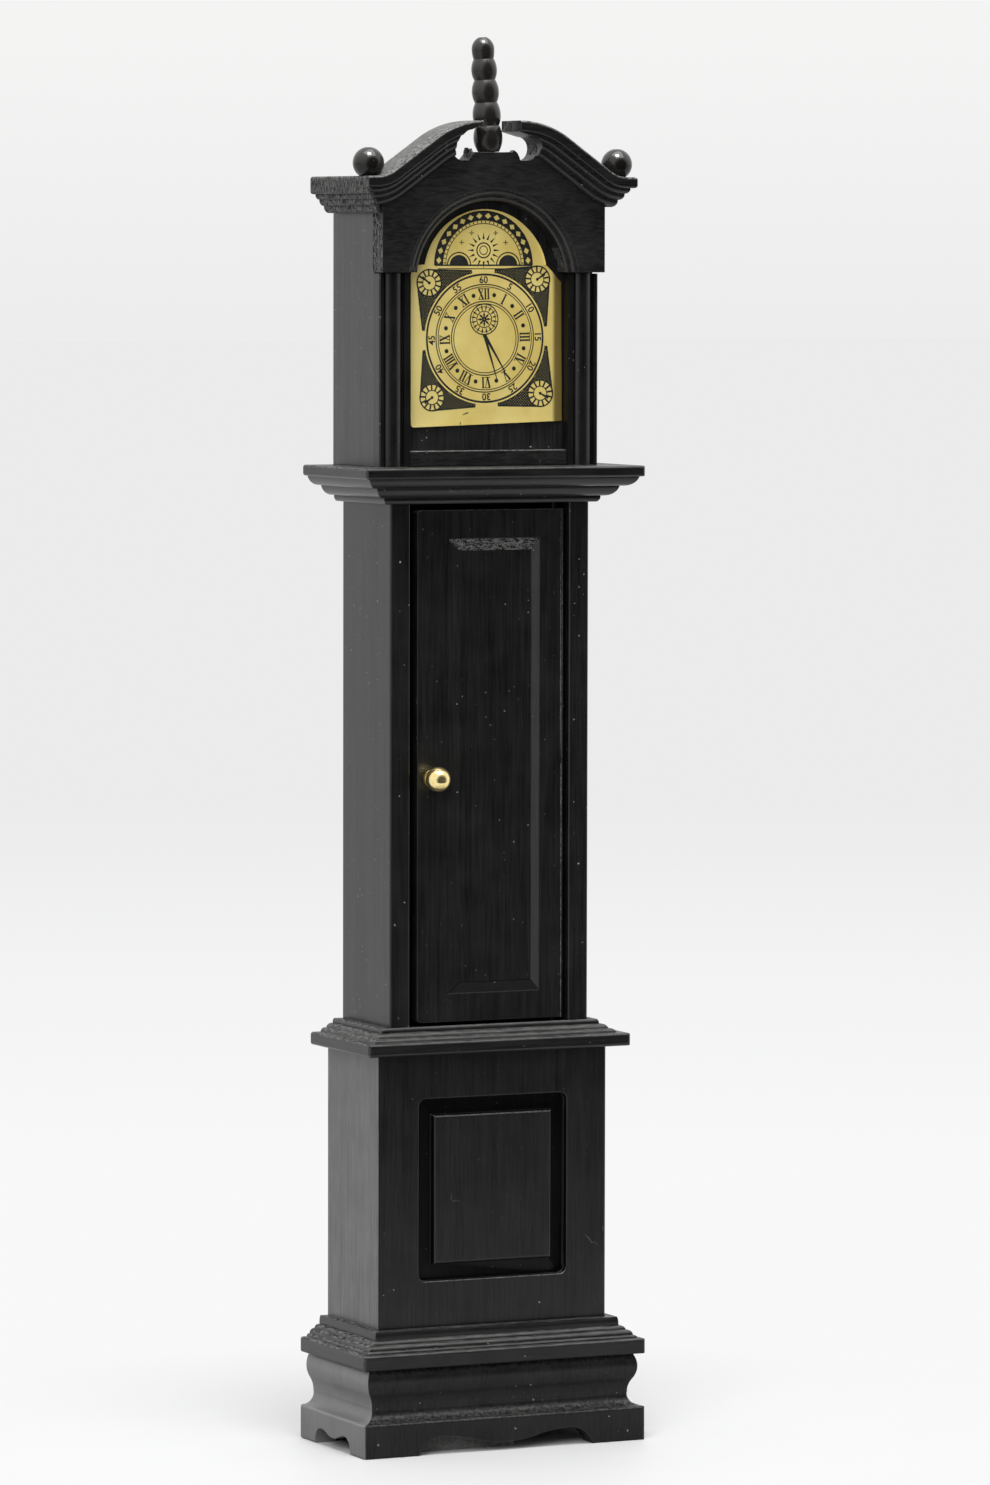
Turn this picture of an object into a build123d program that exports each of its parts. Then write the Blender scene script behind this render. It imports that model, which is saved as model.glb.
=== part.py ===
from build123d import *
import os
from math import atan2, cos, degrees, hypot, radians, sin, sqrt

# Miniature longcase clock in black-painted wood: a stack of glued boxes with mitred
# mouldings, a printed foil dial, bead finials and a trunk door that turns on two pins.
# Millimetres, +Z up, front towards -Y. The origin is on the floor, in the middle of the
# plinth's outline, and every section is flush at the back. A "depth" is measured forwards
# from that back plane.

# Stock that the case is cut from
case_board = 2.8
hood_board = 2.4
back_panel = 1.5
arris = 0.15
reed_quirk = 0.1
nose_radius = 0.35
moulding_corner = 0.4

# Trunk, the box that the other sections are sized from
trunk_width = 28.0
trunk_depth = 14.7
trunk_opening = 66.7
trunk_arris = 0.3

# Base box under the trunk, with a routed groove in its front
base_height = 39.8
base_side_step = 2.1
base_front_step = 1.2
base_corner = 0.35
groove_side_margin = 5.65
groove_foot_margin = 10.5
groove_head_margin = 5.9
groove_width = 2.1
groove_corner = 0.95
groove_depth = 1.5
groove_island_round = 0.45
groove_rim_round = 0.2

# Plinth with bracket feet
plinth_stock = 3.0
plinth_corner = 0.5
plinth_apron = 4.4
plinth_cove_inset = 1.8
plinth_cove_rise = 1.8
plinth_bulge_inset = 0.8
plinth_bulge_rise = 3.35
plinth_cap_inset = 1.3
plinth_cap_rise = 1.65
plinth_floor_board = 3.0
front_foot = 7.5
front_crown = 3.4
side_foot = 4.55
side_crown = 1.8
front_crown_height = 2.35
front_drop_height = 1.05
side_crown_height = 2.15
side_drop_height = 1.4
block_left_setback = 5.0
block_length = 17.4
block_depth = 6.0

# Mouldings: a square fillet, a ledge, then reeds as (run inwards, height) each
base_fillet = 2.0
base_ledge = 0.85
base_reeds = [(0.3, 0.35), (0.6, 0.65), (0.6, 0.5), (0.12, 1.1)]
base_side_flat = 0.93
base_front_flat = 1.23
lower_fillet = 1.65
lower_ledge = 1.38
lower_reeds = [(0.7, 0.5), (0.82, 0.55), (0.2, 0.6)]
lower_side_flat = 1.1
lower_front_flat = 0.15
upper_fillet = 1.4
upper_ledge = 0.6
upper_reeds = [(1.8, 1.2), (1.75, 1.3), (0.35, 0.8)]
upper_side_flat = 0.8
upper_front_flat = 0.3
cornice_fillet = 1.4
cornice_ledge = 0.7
cornice_reeds = [(0.45, 0.7), (0.55, 0.8), (0.6, 0.9)]
cornice_side_flat = 0.9
cornice_front_flat = 0.2
cornice_back_gap = 0.7
cornice_left_drop = 0.85

# Hood: side boards, moulded posts, dial board and sill
hood_side_step = 1.4
hood_setback = 2.0
post_width = 4.3
post_depth = 1.9
post_height = 24.5
post_gap = 0.15
post_fillet = 0.6
post_band = 0.85
post_groove = 0.15
post_flat_depth = 1.6
post_ground_depth = 1.15
dial_board_thickness = 1.5
sill_height = 2.0
sill_depth = 1.5

# Arch board with its round opening, reeded edge and scrolled top
arch_board = 3.1
arch_side_step = 0.25
arch_lip = 0.7
arch_sink = 1.35
arch_reeds = [(0.75, 0.35), (0.75, 0.4)]
arch_quirk = 0.12
cornice_rise = 12.15
neck_gap = 2.4
neck_rise = 7.1
neck_low_radius = 4.2
neck_bow = 10.2
scroll_radius = 1.45
scroll_reach = 2.15
scroll_depth = 5.05
left_tip = 0.55
left_tip_drop = 0.67
left_tip_trim = 0.5
right_tip = 1.4
right_tip_drop = 0.6
pedestal_top_half = 2.8
pedestal_foot_half = 3.7
pedestal_height = 1.05
left_ear = [(-3.5, 1.1), (-3.3, 1.65), (-3.05, 1.3), (-2.75, 1.55), (-2.5, 0.95), (-2.1, 0.5)]
right_ear = [(1.75, 0.5), (1.95, 1.1), (2.4, 1.0), (2.7, 1.35), (3.2, 1.0), (3.55, 0.35)]
ear_thickness = 1.0

# Printed foil dial on the dial board
foil_thickness = 0.2
foil_clearance = 0.1
foil_left_trim = 0.65
foil_foot = 5.0
foil_arch_gap = 1.9
foil_arch_lift = 0.8
foil_shoulder = 1.0

# Bead finials
ball_radius = 2.0
ball_hole_radius = 0.4
ball_foot = 1.65
ball_flat = 0.05
ball_inset = 1.3
ball_setback = 2.9
ball_right_setback = 3.5
finial_beads = [(1.86, 3.35), (1.8, 2.95), (1.73, 2.87), (1.64, 2.66)]
finial_necks = [1.3, 1.5, 1.42, 1.34, 1.29]
finial_top_bead = 1.45
finial_top_foot = 1.25
finial_top_crown = 1.5
finial_top_flat = 0.5
finial_shift = 0.12
finial_lean = 3.7
finial_dowel_radius = 0.6
finial_dowel_length = 2.4
glue_clearance = 0.02

# Trunk door with a raised field, hinge pins and knob
door_thickness = 2.4
door_recess = 0.3
door_latch_gap = 1.1
door_hinge_gap = 0.3
door_head_gap = 0.85
door_foot_gap = 0.4
door_corner = 0.5
door_hinge_edge = 0.8
field_latch_margin = 4.3
field_hinge_margin = 3.75
field_end_margin = 3.6
field_bevel = 1.45
field_rise = 0.5
pin_radius = 0.4
pin_seat = 2.0
pin_reach = 2.0
pin_end_play = 0.3
pin_running_clearance = 0.04
knob_radius = 1.6
knob_neck_radius = 0.75
knob_neck = 0.45
knob_flange_radius = 1.15
knob_flange = 0.2
knob_shank_radius = 0.5
knob_shank = 1.5
knob_inset = 2.0
knob_rise = 31.7


def reeds_run(ledge, reeds):
    return ledge + sum(run + reed_quirk for run, _ in reeds)


def reeds_height(fillet_height, reeds):
    return fillet_height + sum(rise for _, rise in reeds)


# Widths and depths of the sections, worked out from the trunk
base_width = trunk_width + 2 * base_side_step
base_depth = trunk_depth + base_front_step
plinth_side_run = reeds_run(base_ledge, base_reeds) + base_side_flat
plinth_front_run = reeds_run(base_ledge, base_reeds) + base_front_flat
plinth_width = base_width + 2 * plinth_side_run
plinth_depth = base_depth + plinth_front_run
lower_side_run = reeds_run(lower_ledge, lower_reeds) + lower_side_flat
lower_front_run = reeds_run(lower_ledge, lower_reeds) + lower_front_flat
upper_side_run = reeds_run(upper_ledge, upper_reeds) + upper_side_flat
upper_front_run = reeds_run(upper_ledge, upper_reeds) + upper_front_flat
hood_width = trunk_width + 2 * hood_side_step
hood_seam_depth = trunk_depth - hood_setback
arch_width = hood_width + 2 * arch_side_step
arch_front_depth = hood_seam_depth + arch_board
cornice_side_run = reeds_run(cornice_ledge, cornice_reeds) + cornice_side_flat
cornice_front_run = reeds_run(cornice_ledge, cornice_reeds) + cornice_front_flat
cornice_width = hood_width + 2 * cornice_side_run
cornice_depth = arch_front_depth + cornice_front_run
back_y = plinth_depth / 2

# Heights of the joints between the sections
base_foot_z = plinth_apron + plinth_cove_rise + plinth_bulge_rise + plinth_cap_rise
base_top_z = base_foot_z + base_height
trunk_foot_z = base_top_z + reeds_height(lower_fillet, lower_reeds)
trunk_head_z = trunk_foot_z + trunk_opening
hood_foot_z = trunk_head_z + reeds_height(upper_fillet, upper_reeds)
arch_foot_z = hood_foot_z + post_height + post_gap
cornice_top_z = arch_foot_z + cornice_rise
neck_tip_z = cornice_top_z + neck_rise
hood_ceiling_z = cornice_top_z - hood_board

# Insides of the boxes
base_inner = base_width / 2 - case_board
trunk_inner = trunk_width / 2 - case_board
hood_inner = hood_width / 2 - hood_board
post_inner = hood_width / 2 - post_width

parts = {}


def y_at(depth):
    return back_y - depth


def board(x_low, x_high, depth_low, depth_high, z_low, z_high):
    size = Box(x_high - x_low, depth_high - depth_low, z_high - z_low)
    return Pos((x_low + x_high) / 2, y_at((depth_low + depth_high) / 2), (z_low + z_high) / 2) * size


def front_plane(depth):
    return Plane(origin=(0, y_at(depth), 0), x_dir=(1, 0, 0), z_dir=(0, -1, 0))


def plate(face, depth_low, depth_high):
    return extrude(front_plane(depth_low) * face, amount=depth_high - depth_low)


def column(face, z_low, z_high):
    return extrude(Pos(0, 0, z_low) * face, amount=z_high - z_low)


def rod(x, depth, z_low, z_high, radius):
    return Pos(x, y_at(depth), (z_low + z_high) / 2) * Cylinder(radius, z_high - z_low)


def mirrored(solid):
    return mirror(solid, about=Plane.YZ)


def nosed_fillet(height):
    """Front of a square fillet with both corners rubbed round, from its foot to its top."""
    round_off = nose_radius * (1 - cos(radians(45)))
    return [
        ThreePointArc((nose_radius, 0), (round_off, round_off), (0, nose_radius)),
        Line((0, nose_radius), (0, height - nose_radius)),
        ThreePointArc((0, height - nose_radius), (round_off, height - round_off), (nose_radius, height)),
    ]


def reeded_profile(fillet_height, ledge, reeds, run):
    edges = [
        Line((run, 0), (nose_radius, 0)),
        *nosed_fillet(fillet_height),
        Line((nose_radius, fillet_height), (ledge, fillet_height)),
    ]
    x, y = ledge, fillet_height
    for reed_run, reed_rise in reeds:
        crest = (x + reed_run * (1 - cos(radians(45))), y + reed_rise * sin(radians(45)))
        end = (x + reed_run, y + reed_rise)
        edges.append(ThreePointArc((x, y), crest, end))
        edges.append(Line(end, (end[0] + reed_quirk, end[1])))
        x, y = end[0] + reed_quirk, end[1]
    edges.append(Polyline((x, y), (run, y), (run, 0)))
    return make_face(edges)


def plinth_profile():
    cove_z = plinth_apron + plinth_cove_rise
    bulge_z = cove_z + plinth_bulge_rise
    cove = (plinth_cove_inset, cove_z)
    bulge = (plinth_bulge_inset, bulge_z)
    waist = ((cove[0] + bulge[0]) / 2, (cove_z + bulge_z) / 2)
    cap = (plinth_cap_inset, base_foot_z)
    return make_face(
        [
            Line((plinth_stock, 0), (nose_radius, 0)),
            *nosed_fillet(plinth_apron),
            TangentArc((nose_radius, plinth_apron), cove, tangent=(1, 0)),
            TangentArc(cove, waist, tangent=(0, 1)),
            TangentArc(bulge, waist, tangent=(0, -1)),
            TangentArc(bulge, cap, tangent=(0, 1)),
            Polyline(cap, (plinth_stock, base_foot_z), (plinth_stock, 0)),
        ]
    )


def front_strip(section, width, depth, run, z, downwards=False):
    """A strip across the front, mitred at both ends."""
    up = -1 if downwards else 1
    end = Plane(origin=(-width / 2, y_at(depth), z), x_dir=(0, 1, 0), z_dir=(up, 0, 0))
    start = end if up > 0 else end.offset(-width)
    half = width / 2
    outline = Polyline(
        (-half, y_at(depth)), (half, y_at(depth)), (half - run, y_at(depth - run)),
        (-half + run, y_at(depth - run)), close=True,
    )
    height = section.bounding_box().size.Y
    keep = column(make_face(outline), z - height, z + height)
    return extrude(start * section, amount=width) & keep


def left_strip(section, width, depth, run, z, downwards=False):
    """A return along the left side, mitred at its front end and square at the back."""
    up = -1 if downwards else 1
    end = Plane(origin=(-width / 2, y_at(0), z), x_dir=(1, 0, 0), z_dir=(0, -up, 0))
    start = end if up > 0 else end.offset(-depth)
    half = width / 2
    outline = Polyline(
        (-half, y_at(depth)), (-half + run, y_at(depth - run)), (-half + run, y_at(0)), (-half, y_at(0)),
        close=True,
    )
    height = section.bounding_box().size.Y
    keep = column(make_face(outline), z - height, z + height)
    return extrude(start * section, amount=depth) & keep


def rounded_room(width, depth, corner, z_low, z_high):
    """A block flush at the back whose two upright front corners are rounded."""
    outline = Rectangle(width, depth)
    outline = fillet(outline.vertices().sort_by(Axis.Y)[:2], corner)
    return column(Pos(0, y_at(depth / 2)) * outline, z_low, z_high)


def add_moulding(name, fillet_height, ledge, reeds, width, depth, side_run, front_run, z, downwards):
    front_section = reeded_profile(fillet_height, ledge, reeds, front_run)
    side_section = reeded_profile(fillet_height, ledge, reeds, side_run)
    height = reeds_height(fillet_height, reeds)
    room = rounded_room(width, depth, moulding_corner, z - height, z + height)
    left = left_strip(side_section, width, depth, side_run, z, downwards) & room
    parts[name + "_front"] = front_strip(front_section, width, depth, front_run, z, downwards) & room
    parts[name + "_left"] = left
    parts[name + "_right"] = mirrored(left)


def scallop(foot_half, crown, crown_height, drop_height):
    """Outline of the cut between two bracket feet, about x = 0 and from below the floor."""
    peak = foot_half - crown
    middle = (peak / 2, (crown_height + drop_height) / 2)
    half = [
        TangentArc((peak, crown_height), (foot_half, 0), tangent=(1, 0)),
        TangentArc((peak, crown_height), middle, tangent=(-1, 0)),
        TangentArc((0, drop_height), middle, tangent=(1, 0)),
    ]
    left = [edge.mirror(Plane.YZ) for edge in half]
    floor = Polyline((foot_half, 0), (foot_half, -arris), (-foot_half, -arris), (-foot_half, 0))
    return make_face([*half, *left, floor])


# Plinth: three ogee strips on bracket feet, a plain back, a floor board and a rough glue block
front_scallop = scallop(plinth_width / 2 - front_foot, front_crown, front_crown_height, front_drop_height)
side_scallop = scallop(plinth_depth / 2 - side_foot, side_crown, side_crown_height, side_drop_height)
front_cut = plate(front_scallop, plinth_depth - plinth_stock, plinth_depth)
side_plane = Plane(origin=(-plinth_width / 2, 0, 0), x_dir=(0, 1, 0), z_dir=(1, 0, 0))
side_cut = extrude(side_plane * side_scallop, amount=plinth_stock)
plinth_room = rounded_room(plinth_width, plinth_depth, plinth_corner, 0, base_foot_z)
plinth_front = front_strip(plinth_profile(), plinth_width, plinth_depth, plinth_stock, 0)
plinth_left = left_strip(plinth_profile(), plinth_width, plinth_depth, plinth_stock, 0)
parts["plinth_front"] = (plinth_front & plinth_room) - front_cut
parts["plinth_left"] = (plinth_left & plinth_room) - side_cut
parts["plinth_right"] = mirrored(parts["plinth_left"])
plinth_inner = plinth_width / 2 - plinth_stock
plinth_floor_z = base_foot_z - plinth_floor_board
parts["plinth_floor"] = board(
    -plinth_inner, plinth_inner, 0, plinth_depth - plinth_stock, plinth_floor_z, base_foot_z
)
parts["plinth_back"] = board(-plinth_inner, plinth_inner, 0, back_panel, 0, plinth_floor_z)
block_left = -plinth_width / 2 + block_left_setback
block_front = plinth_depth - plinth_stock
parts["plinth_block"] = board(
    block_left, block_left + block_length, block_front - block_depth, block_front, 0, plinth_floor_z
)

# Base box: front and sides mitred at the corners, a thin back and a board under the trunk
base_prism = rounded_room(base_width, base_depth, base_corner, base_foot_z, base_top_z)
base_half = base_width / 2
front_keep = Polyline(
    (-base_half, y_at(base_depth)), (base_half, y_at(base_depth)),
    (base_inner, y_at(base_depth - case_board)), (-base_inner, y_at(base_depth - case_board)), close=True,
)
side_keep = Polyline(
    (-base_half, y_at(base_depth)), (-base_inner, y_at(base_depth - case_board)), (-base_inner, y_at(0)),
    (-base_half, y_at(0)), close=True,
)
groove_outer_width = base_width - 2 * groove_side_margin
groove_outer_height = base_height - groove_foot_margin - groove_head_margin
groove_z = base_foot_z + groove_foot_margin + groove_outer_height / 2
groove_outer = RectangleRounded(groove_outer_width, groove_outer_height, groove_corner)
island_width = groove_outer_width - 2 * groove_width
island_height = groove_outer_height - 2 * groove_width
groove_island = Rectangle(island_width, island_height)
groove = plate(Pos(0, groove_z) * (groove_outer - groove_island), base_depth - groove_depth, base_depth)


def edges_within(edges, width, height):
    """Edges of the grooved face whose middles lie in a rectangle about the groove's centre."""
    half_width = width / 2 + arris
    half_height = height / 2 + arris
    return [
        edge for edge in edges
        if abs(edge.center().X) < half_width and abs(edge.center().Z - groove_z) < half_height
    ]


base_side = base_prism & column(make_face(side_keep), base_foot_z, base_top_z)
base_front = (base_prism & column(make_face(front_keep), base_foot_z, base_top_z)) - groove
face_span = (y_at(base_depth + arris), y_at(base_depth - arris))
face_edges = base_front.edges().filter_by_position(Axis.Y, *face_span)
base_front = fillet(edges_within(face_edges, island_width, island_height), groove_island_round)
face_edges = base_front.edges().filter_by_position(Axis.Y, *face_span)
rim_edges = edges_within(face_edges, groove_outer_width, groove_outer_height)
island_edges = edges_within(face_edges, island_width, island_height)
parts["base_front"] = fillet([edge for edge in rim_edges if edge not in island_edges], groove_rim_round)
parts["base_side_left"] = base_side
parts["base_side_right"] = mirrored(base_side)
parts["base_back"] = board(-base_inner, base_inner, 0, back_panel, base_foot_z, base_top_z)
parts["base_top"] = board(
    -base_inner, base_inner, back_panel, base_depth - case_board, base_top_z - case_board, base_top_z
)

# Mouldings of the base and of the trunk's two ends
add_moulding(
    "base_moulding", base_fillet, base_ledge, base_reeds, plinth_width, plinth_depth, plinth_side_run,
    plinth_front_run, base_foot_z, False,
)
add_moulding(
    "lower_waist_moulding", lower_fillet, lower_ledge, lower_reeds, trunk_width + 2 * lower_side_run,
    trunk_depth + lower_front_run, lower_side_run, lower_front_run, base_top_z, False,
)
add_moulding(
    "upper_waist_moulding", upper_fillet, upper_ledge, upper_reeds, trunk_width + 2 * upper_side_run,
    trunk_depth + upper_front_run, upper_side_run, upper_front_run, hood_foot_z, True,
)

# Trunk: two sides whose front edges frame the door, a back, and a board at each end
trunk_side = board(-trunk_width / 2, -trunk_inner, 0, trunk_depth, base_top_z, hood_foot_z)
trunk_side_arrises = trunk_side.edges().filter_by(Axis.Z).sort_by(Axis.Y)[:2]
trunk_side = fillet(trunk_side_arrises, trunk_arris)
parts["trunk_side_left"] = trunk_side
parts["trunk_side_right"] = mirrored(trunk_side)
parts["trunk_back"] = board(-trunk_inner, trunk_inner, 0, back_panel, base_top_z, hood_foot_z)

# Door on two pins: its hinge edge is rounded, so that it turns clear of the trunk side
door_left = -trunk_inner + door_latch_gap
door_right = trunk_inner - door_hinge_gap
door_foot_z = trunk_foot_z + door_foot_gap
door_head_z = trunk_head_z - door_head_gap
door_front = trunk_depth - door_recess
hinge_x = door_right - door_thickness / 2
hinge_depth = door_front - door_thickness / 2
door_height = door_head_z - door_foot_z
door_x = (door_left + door_right) / 2
door_plan = Pos(door_x, y_at(hinge_depth)) * Rectangle(door_right - door_left, door_thickness)
door_plan = fillet(door_plan.vertices().sort_by(Axis.X)[-2:], door_hinge_edge)
door_middle = Pos(door_x, (door_foot_z + door_head_z) / 2)
door_elevation = door_middle * RectangleRounded(door_right - door_left, door_height, door_corner)
door = column(door_plan, door_foot_z, door_head_z)
door = door & plate(door_elevation, door_front - 2 * door_thickness, door_front + door_thickness)
field_width = door_right - door_left - field_latch_margin - field_hinge_margin
field_height = door_height - 2 * field_end_margin
field_x = (door_left + field_latch_margin + door_right - field_hinge_margin) / 2
field_centre = Pos(field_x, (door_foot_z + door_head_z) / 2)
field_foot = front_plane(door_front) * field_centre * Rectangle(field_width, field_height)
field_face = (
    front_plane(door_front + field_rise)
    * field_centre
    * Rectangle(field_width - 2 * field_bevel, field_height - 2 * field_bevel)
)
door = door + loft([field_foot, field_face], ruled=True)
door_bore = pin_radius + pin_running_clearance
bore_depth = pin_reach + pin_end_play
knob_x = door_left + knob_inset
knob_z = trunk_foot_z + knob_rise
knob_hole = Cylinder(knob_shank_radius + glue_clearance, 2 * knob_shank)
door = door - rod(hinge_x, hinge_depth, door_foot_z, door_foot_z + bore_depth, door_bore)
door = door - rod(hinge_x, hinge_depth, door_head_z - bore_depth, door_head_z, door_bore)
parts["door"] = door - front_plane(door_front) * Pos(knob_x, knob_z) * knob_hole

seat_radius = pin_radius + glue_clearance
trunk_floor = board(-trunk_inner, trunk_inner, back_panel, trunk_depth, base_top_z, trunk_foot_z)
trunk_top = board(-trunk_inner, trunk_inner, back_panel, trunk_depth, trunk_head_z, hood_foot_z)
foot_seat = rod(hinge_x, hinge_depth, trunk_foot_z - pin_seat, trunk_foot_z, seat_radius)
head_seat = rod(hinge_x, hinge_depth, trunk_head_z, trunk_head_z + pin_seat, seat_radius)
parts["trunk_floor"] = trunk_floor - foot_seat
parts["trunk_top"] = trunk_top - head_seat
parts["hinge_pin_bottom"] = rod(
    hinge_x, hinge_depth, trunk_foot_z - pin_seat, door_foot_z + pin_reach, pin_radius
)
parts["hinge_pin_top"] = rod(
    hinge_x, hinge_depth, door_head_z - pin_reach, trunk_head_z + pin_seat, pin_radius
)

# Knob: a turned brass ball on a neck and flange, with its shank in the door
ball_z = knob_flange + knob_neck + sqrt(knob_radius**2 - knob_neck_radius**2)
knob_face = make_face(
    [
        Polyline(
            (0, -knob_shank), (knob_shank_radius, -knob_shank), (knob_shank_radius, 0),
            (knob_flange_radius, 0), (knob_flange_radius, knob_flange), (knob_neck_radius, knob_flange),
            (knob_neck_radius, knob_flange + knob_neck),
        ),
        ThreePointArc(
            (knob_neck_radius, knob_flange + knob_neck), (knob_radius, ball_z), (0, ball_z + knob_radius)
        ),
        Line((0, ball_z + knob_radius), (0, -knob_shank)),
    ]
)
knob = Rot(90, 0, 0) * revolve(Plane.XZ * knob_face, Axis.Z)
parts["door_knob"] = Pos(knob_x, y_at(door_front), knob_z) * knob

# Hood: sides, back, top and dial board, with moulded posts and a sill in front
hood_side = board(-hood_width / 2, -hood_inner, 0, hood_seam_depth, hood_foot_z, cornice_top_z)
parts["hood_side_left"] = hood_side
parts["hood_side_right"] = mirrored(hood_side)
parts["hood_back"] = board(-hood_inner, hood_inner, 0, back_panel, hood_foot_z, hood_ceiling_z)
parts["hood_top"] = board(-hood_inner, hood_inner, 0, hood_seam_depth, hood_ceiling_z, cornice_top_z)
parts["dial_board"] = board(
    -hood_inner, hood_inner, hood_seam_depth - dial_board_thickness, hood_seam_depth,
    hood_foot_z, hood_ceiling_z,
)
bead_low = post_fillet + post_groove
bead_high = post_width - post_band - post_groove
post_plan = make_face(
    [
        Polyline(
            (bead_low, -post_ground_depth), (post_fillet, -post_ground_depth),
            (post_fillet, -post_flat_depth), (arris, -post_flat_depth), (0, arris - post_flat_depth),
            (0, 0), (post_width, 0),
            (post_width, -post_flat_depth), (post_width - post_band, -post_flat_depth),
            (post_width - post_band, -post_ground_depth), (bead_high, -post_ground_depth),
        ),
        ThreePointArc(
            (bead_low, -post_ground_depth), ((bead_low + bead_high) / 2, -post_depth),
            (bead_high, -post_ground_depth),
        ),
    ]
)
post_spot = Pos(-hood_width / 2, y_at(hood_seam_depth))
post = column(post_spot * post_plan, hood_foot_z, hood_foot_z + post_height)
parts["post_left"] = post
parts["post_right"] = mirrored(post)
sill = board(
    -post_inner, post_inner, hood_seam_depth, hood_seam_depth + sill_depth,
    hood_foot_z, hood_foot_z + sill_height,
)
sill_arris = sill.edges().filter_by(Axis.X).sort_by(Axis.Z)[-2:].sort_by(Axis.Y)[:1]
parts["sill_rail"] = fillet(sill_arris, arris)

# Line of the swan necks: two arcs joined by a straight run, level at both ends
neck_low_x = cornice_width / 2 - ball_inset
neck_run = neck_low_x - neck_gap
chord = degrees(atan2(neck_rise, neck_run))
slope = radians(chord + neck_bow)
radii = hypot(neck_run, neck_rise) * sin(radians(neck_bow)) / (1 - cos(slope))
neck_high_radius = radii - neck_low_radius


def neck_arc_point(centre, radius, angle):
    return (centre[0] + radius * sin(angle), centre[1] + radius * cos(angle))


low_centre = (neck_low_x, cornice_top_z + neck_low_radius)
high_centre = (neck_gap, neck_tip_z - neck_high_radius)
low_end = neck_arc_point(low_centre, -neck_low_radius, slope)
low_mid = neck_arc_point(low_centre, -neck_low_radius, slope / 2)
high_end = neck_arc_point(high_centre, neck_high_radius, slope)
high_mid = neck_arc_point(high_centre, neck_high_radius, slope / 2)


def neck_line(start_x):
    """Top edge of the right swan neck, from start_x on the level run or low arc to the tip."""
    if start_x >= neck_low_x:
        low = [Line((start_x, cornice_top_z), (neck_low_x, cornice_top_z))]
        low.append(ThreePointArc((neck_low_x, cornice_top_z), low_mid, low_end))
    else:
        start_angle = -atan2(start_x - neck_low_x, sqrt(neck_low_radius**2 - (start_x - neck_low_x) ** 2))
        start = neck_arc_point(low_centre, -neck_low_radius, start_angle)
        middle = neck_arc_point(low_centre, -neck_low_radius, (start_angle + slope) / 2)
        low = [ThreePointArc(start, middle, low_end)]
    return [*low, Line(low_end, high_end), ThreePointArc(high_end, high_mid, (neck_gap, neck_tip_z))]


# Arch board: blank under the swan necks, less the reeded opening, scrolls and centre gap
neck_half = neck_line(arch_width / 2)
neck_foot = neck_half[0] @ 0
blank = make_face(
    [
        Polyline(
            (0, neck_tip_z), (0, arch_foot_z), (arch_width / 2, arch_foot_z), (neck_foot.X, neck_foot.Y)
        ),
        *neck_half,
        Line((neck_gap, neck_tip_z), (0, neck_tip_z)),
    ]
)
scroll_x = neck_gap + scroll_reach
pedestal_foot_z = neck_tip_z - scroll_depth
pedestal_z = pedestal_foot_z + pedestal_height


def scroll_cut(tip, drop, trim):
    """Outline cut away beside the middle: the gap between the tips and the eye under the right tip."""
    tip_foot_z = neck_tip_z - tip
    eye_half = (tip_foot_z - drop - pedestal_foot_z) / 2
    gap = neck_gap + trim
    under_tip = Polyline(
        (0, neck_tip_z + arris), (gap, neck_tip_z + arris), (gap, tip_foot_z),
        (scroll_x, tip_foot_z - drop), (scroll_x, pedestal_foot_z), (0, pedestal_foot_z), close=True,
    )
    eye = Pos(scroll_x, pedestal_foot_z + eye_half) * Ellipse(scroll_radius, eye_half)
    return make_face(under_tip) + eye


def ear(outline):
    """A ragged bit of the fretsawn edge left standing on the pedestal, seen from the front."""
    return Polyline(
        (outline[0][0], pedestal_foot_z - arris), *[(x, pedestal_foot_z + rise) for x, rise in outline],
        (outline[-1][0], pedestal_foot_z - arris), close=True,
    )


left_scroll = scroll_cut(left_tip, left_tip_drop, left_tip_trim)
right_scroll = scroll_cut(right_tip, right_tip_drop, 0)
pedestal = Polyline(
    (0, pedestal_foot_z), (pedestal_foot_half, pedestal_foot_z), (pedestal_top_half, pedestal_z),
    (0, pedestal_z), close=True,
)
left_half = plate(blank - left_scroll + make_face(pedestal), hood_seam_depth, arch_front_depth)
right_half = plate(blank - right_scroll + make_face(pedestal), hood_seam_depth, arch_front_depth)
arch_half_width = post_inner - arch_lip
arch_radius = hypot(arch_half_width, arch_sink)
arch_centre_z = arch_foot_z - arch_sink
reed_edges = []
reed_r = arch_radius + sum(run for run, _ in arch_reeds)
reed_d = 0
ring_outer = (reed_r, reed_d)
for reed_run, reed_rise in arch_reeds:
    reed_edges.append(Line((reed_r, reed_d), (reed_r, reed_d + arch_quirk)))
    reed_d = reed_d + arch_quirk
    crest = (reed_r - reed_run * sin(radians(45)), reed_d + reed_rise * (1 - cos(radians(45))))
    reed_edges.append(ThreePointArc((reed_r, reed_d), crest, (reed_r - reed_run, reed_d + reed_rise)))
    reed_r, reed_d = reed_r - reed_run, reed_d + reed_rise
opening_face = make_face(
    [
        *reed_edges,
        Polyline(
            (reed_r, reed_d), (reed_r, 2 * arch_board), (0, 2 * arch_board), (0, -arch_board),
            (ring_outer[0], -arch_board), ring_outer,
        ),
    ]
)
opening_plane = Plane(origin=(0, y_at(arch_front_depth), arch_centre_z), x_dir=(1, 0, 0), z_dir=(0, 0, 1))
opening_axis = Axis((0, y_at(arch_front_depth), arch_centre_z), (0, 1, 0))
arch = right_half + mirrored(left_half) - revolve(opening_plane * opening_face, opening_axis)
ear_middle = hood_seam_depth + arch_board / 2
left_ear_depth = ear_middle - ear_thickness / 2
arch = arch + plate(make_face(ear(left_ear)), left_ear_depth, left_ear_depth + ear_thickness)
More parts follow.
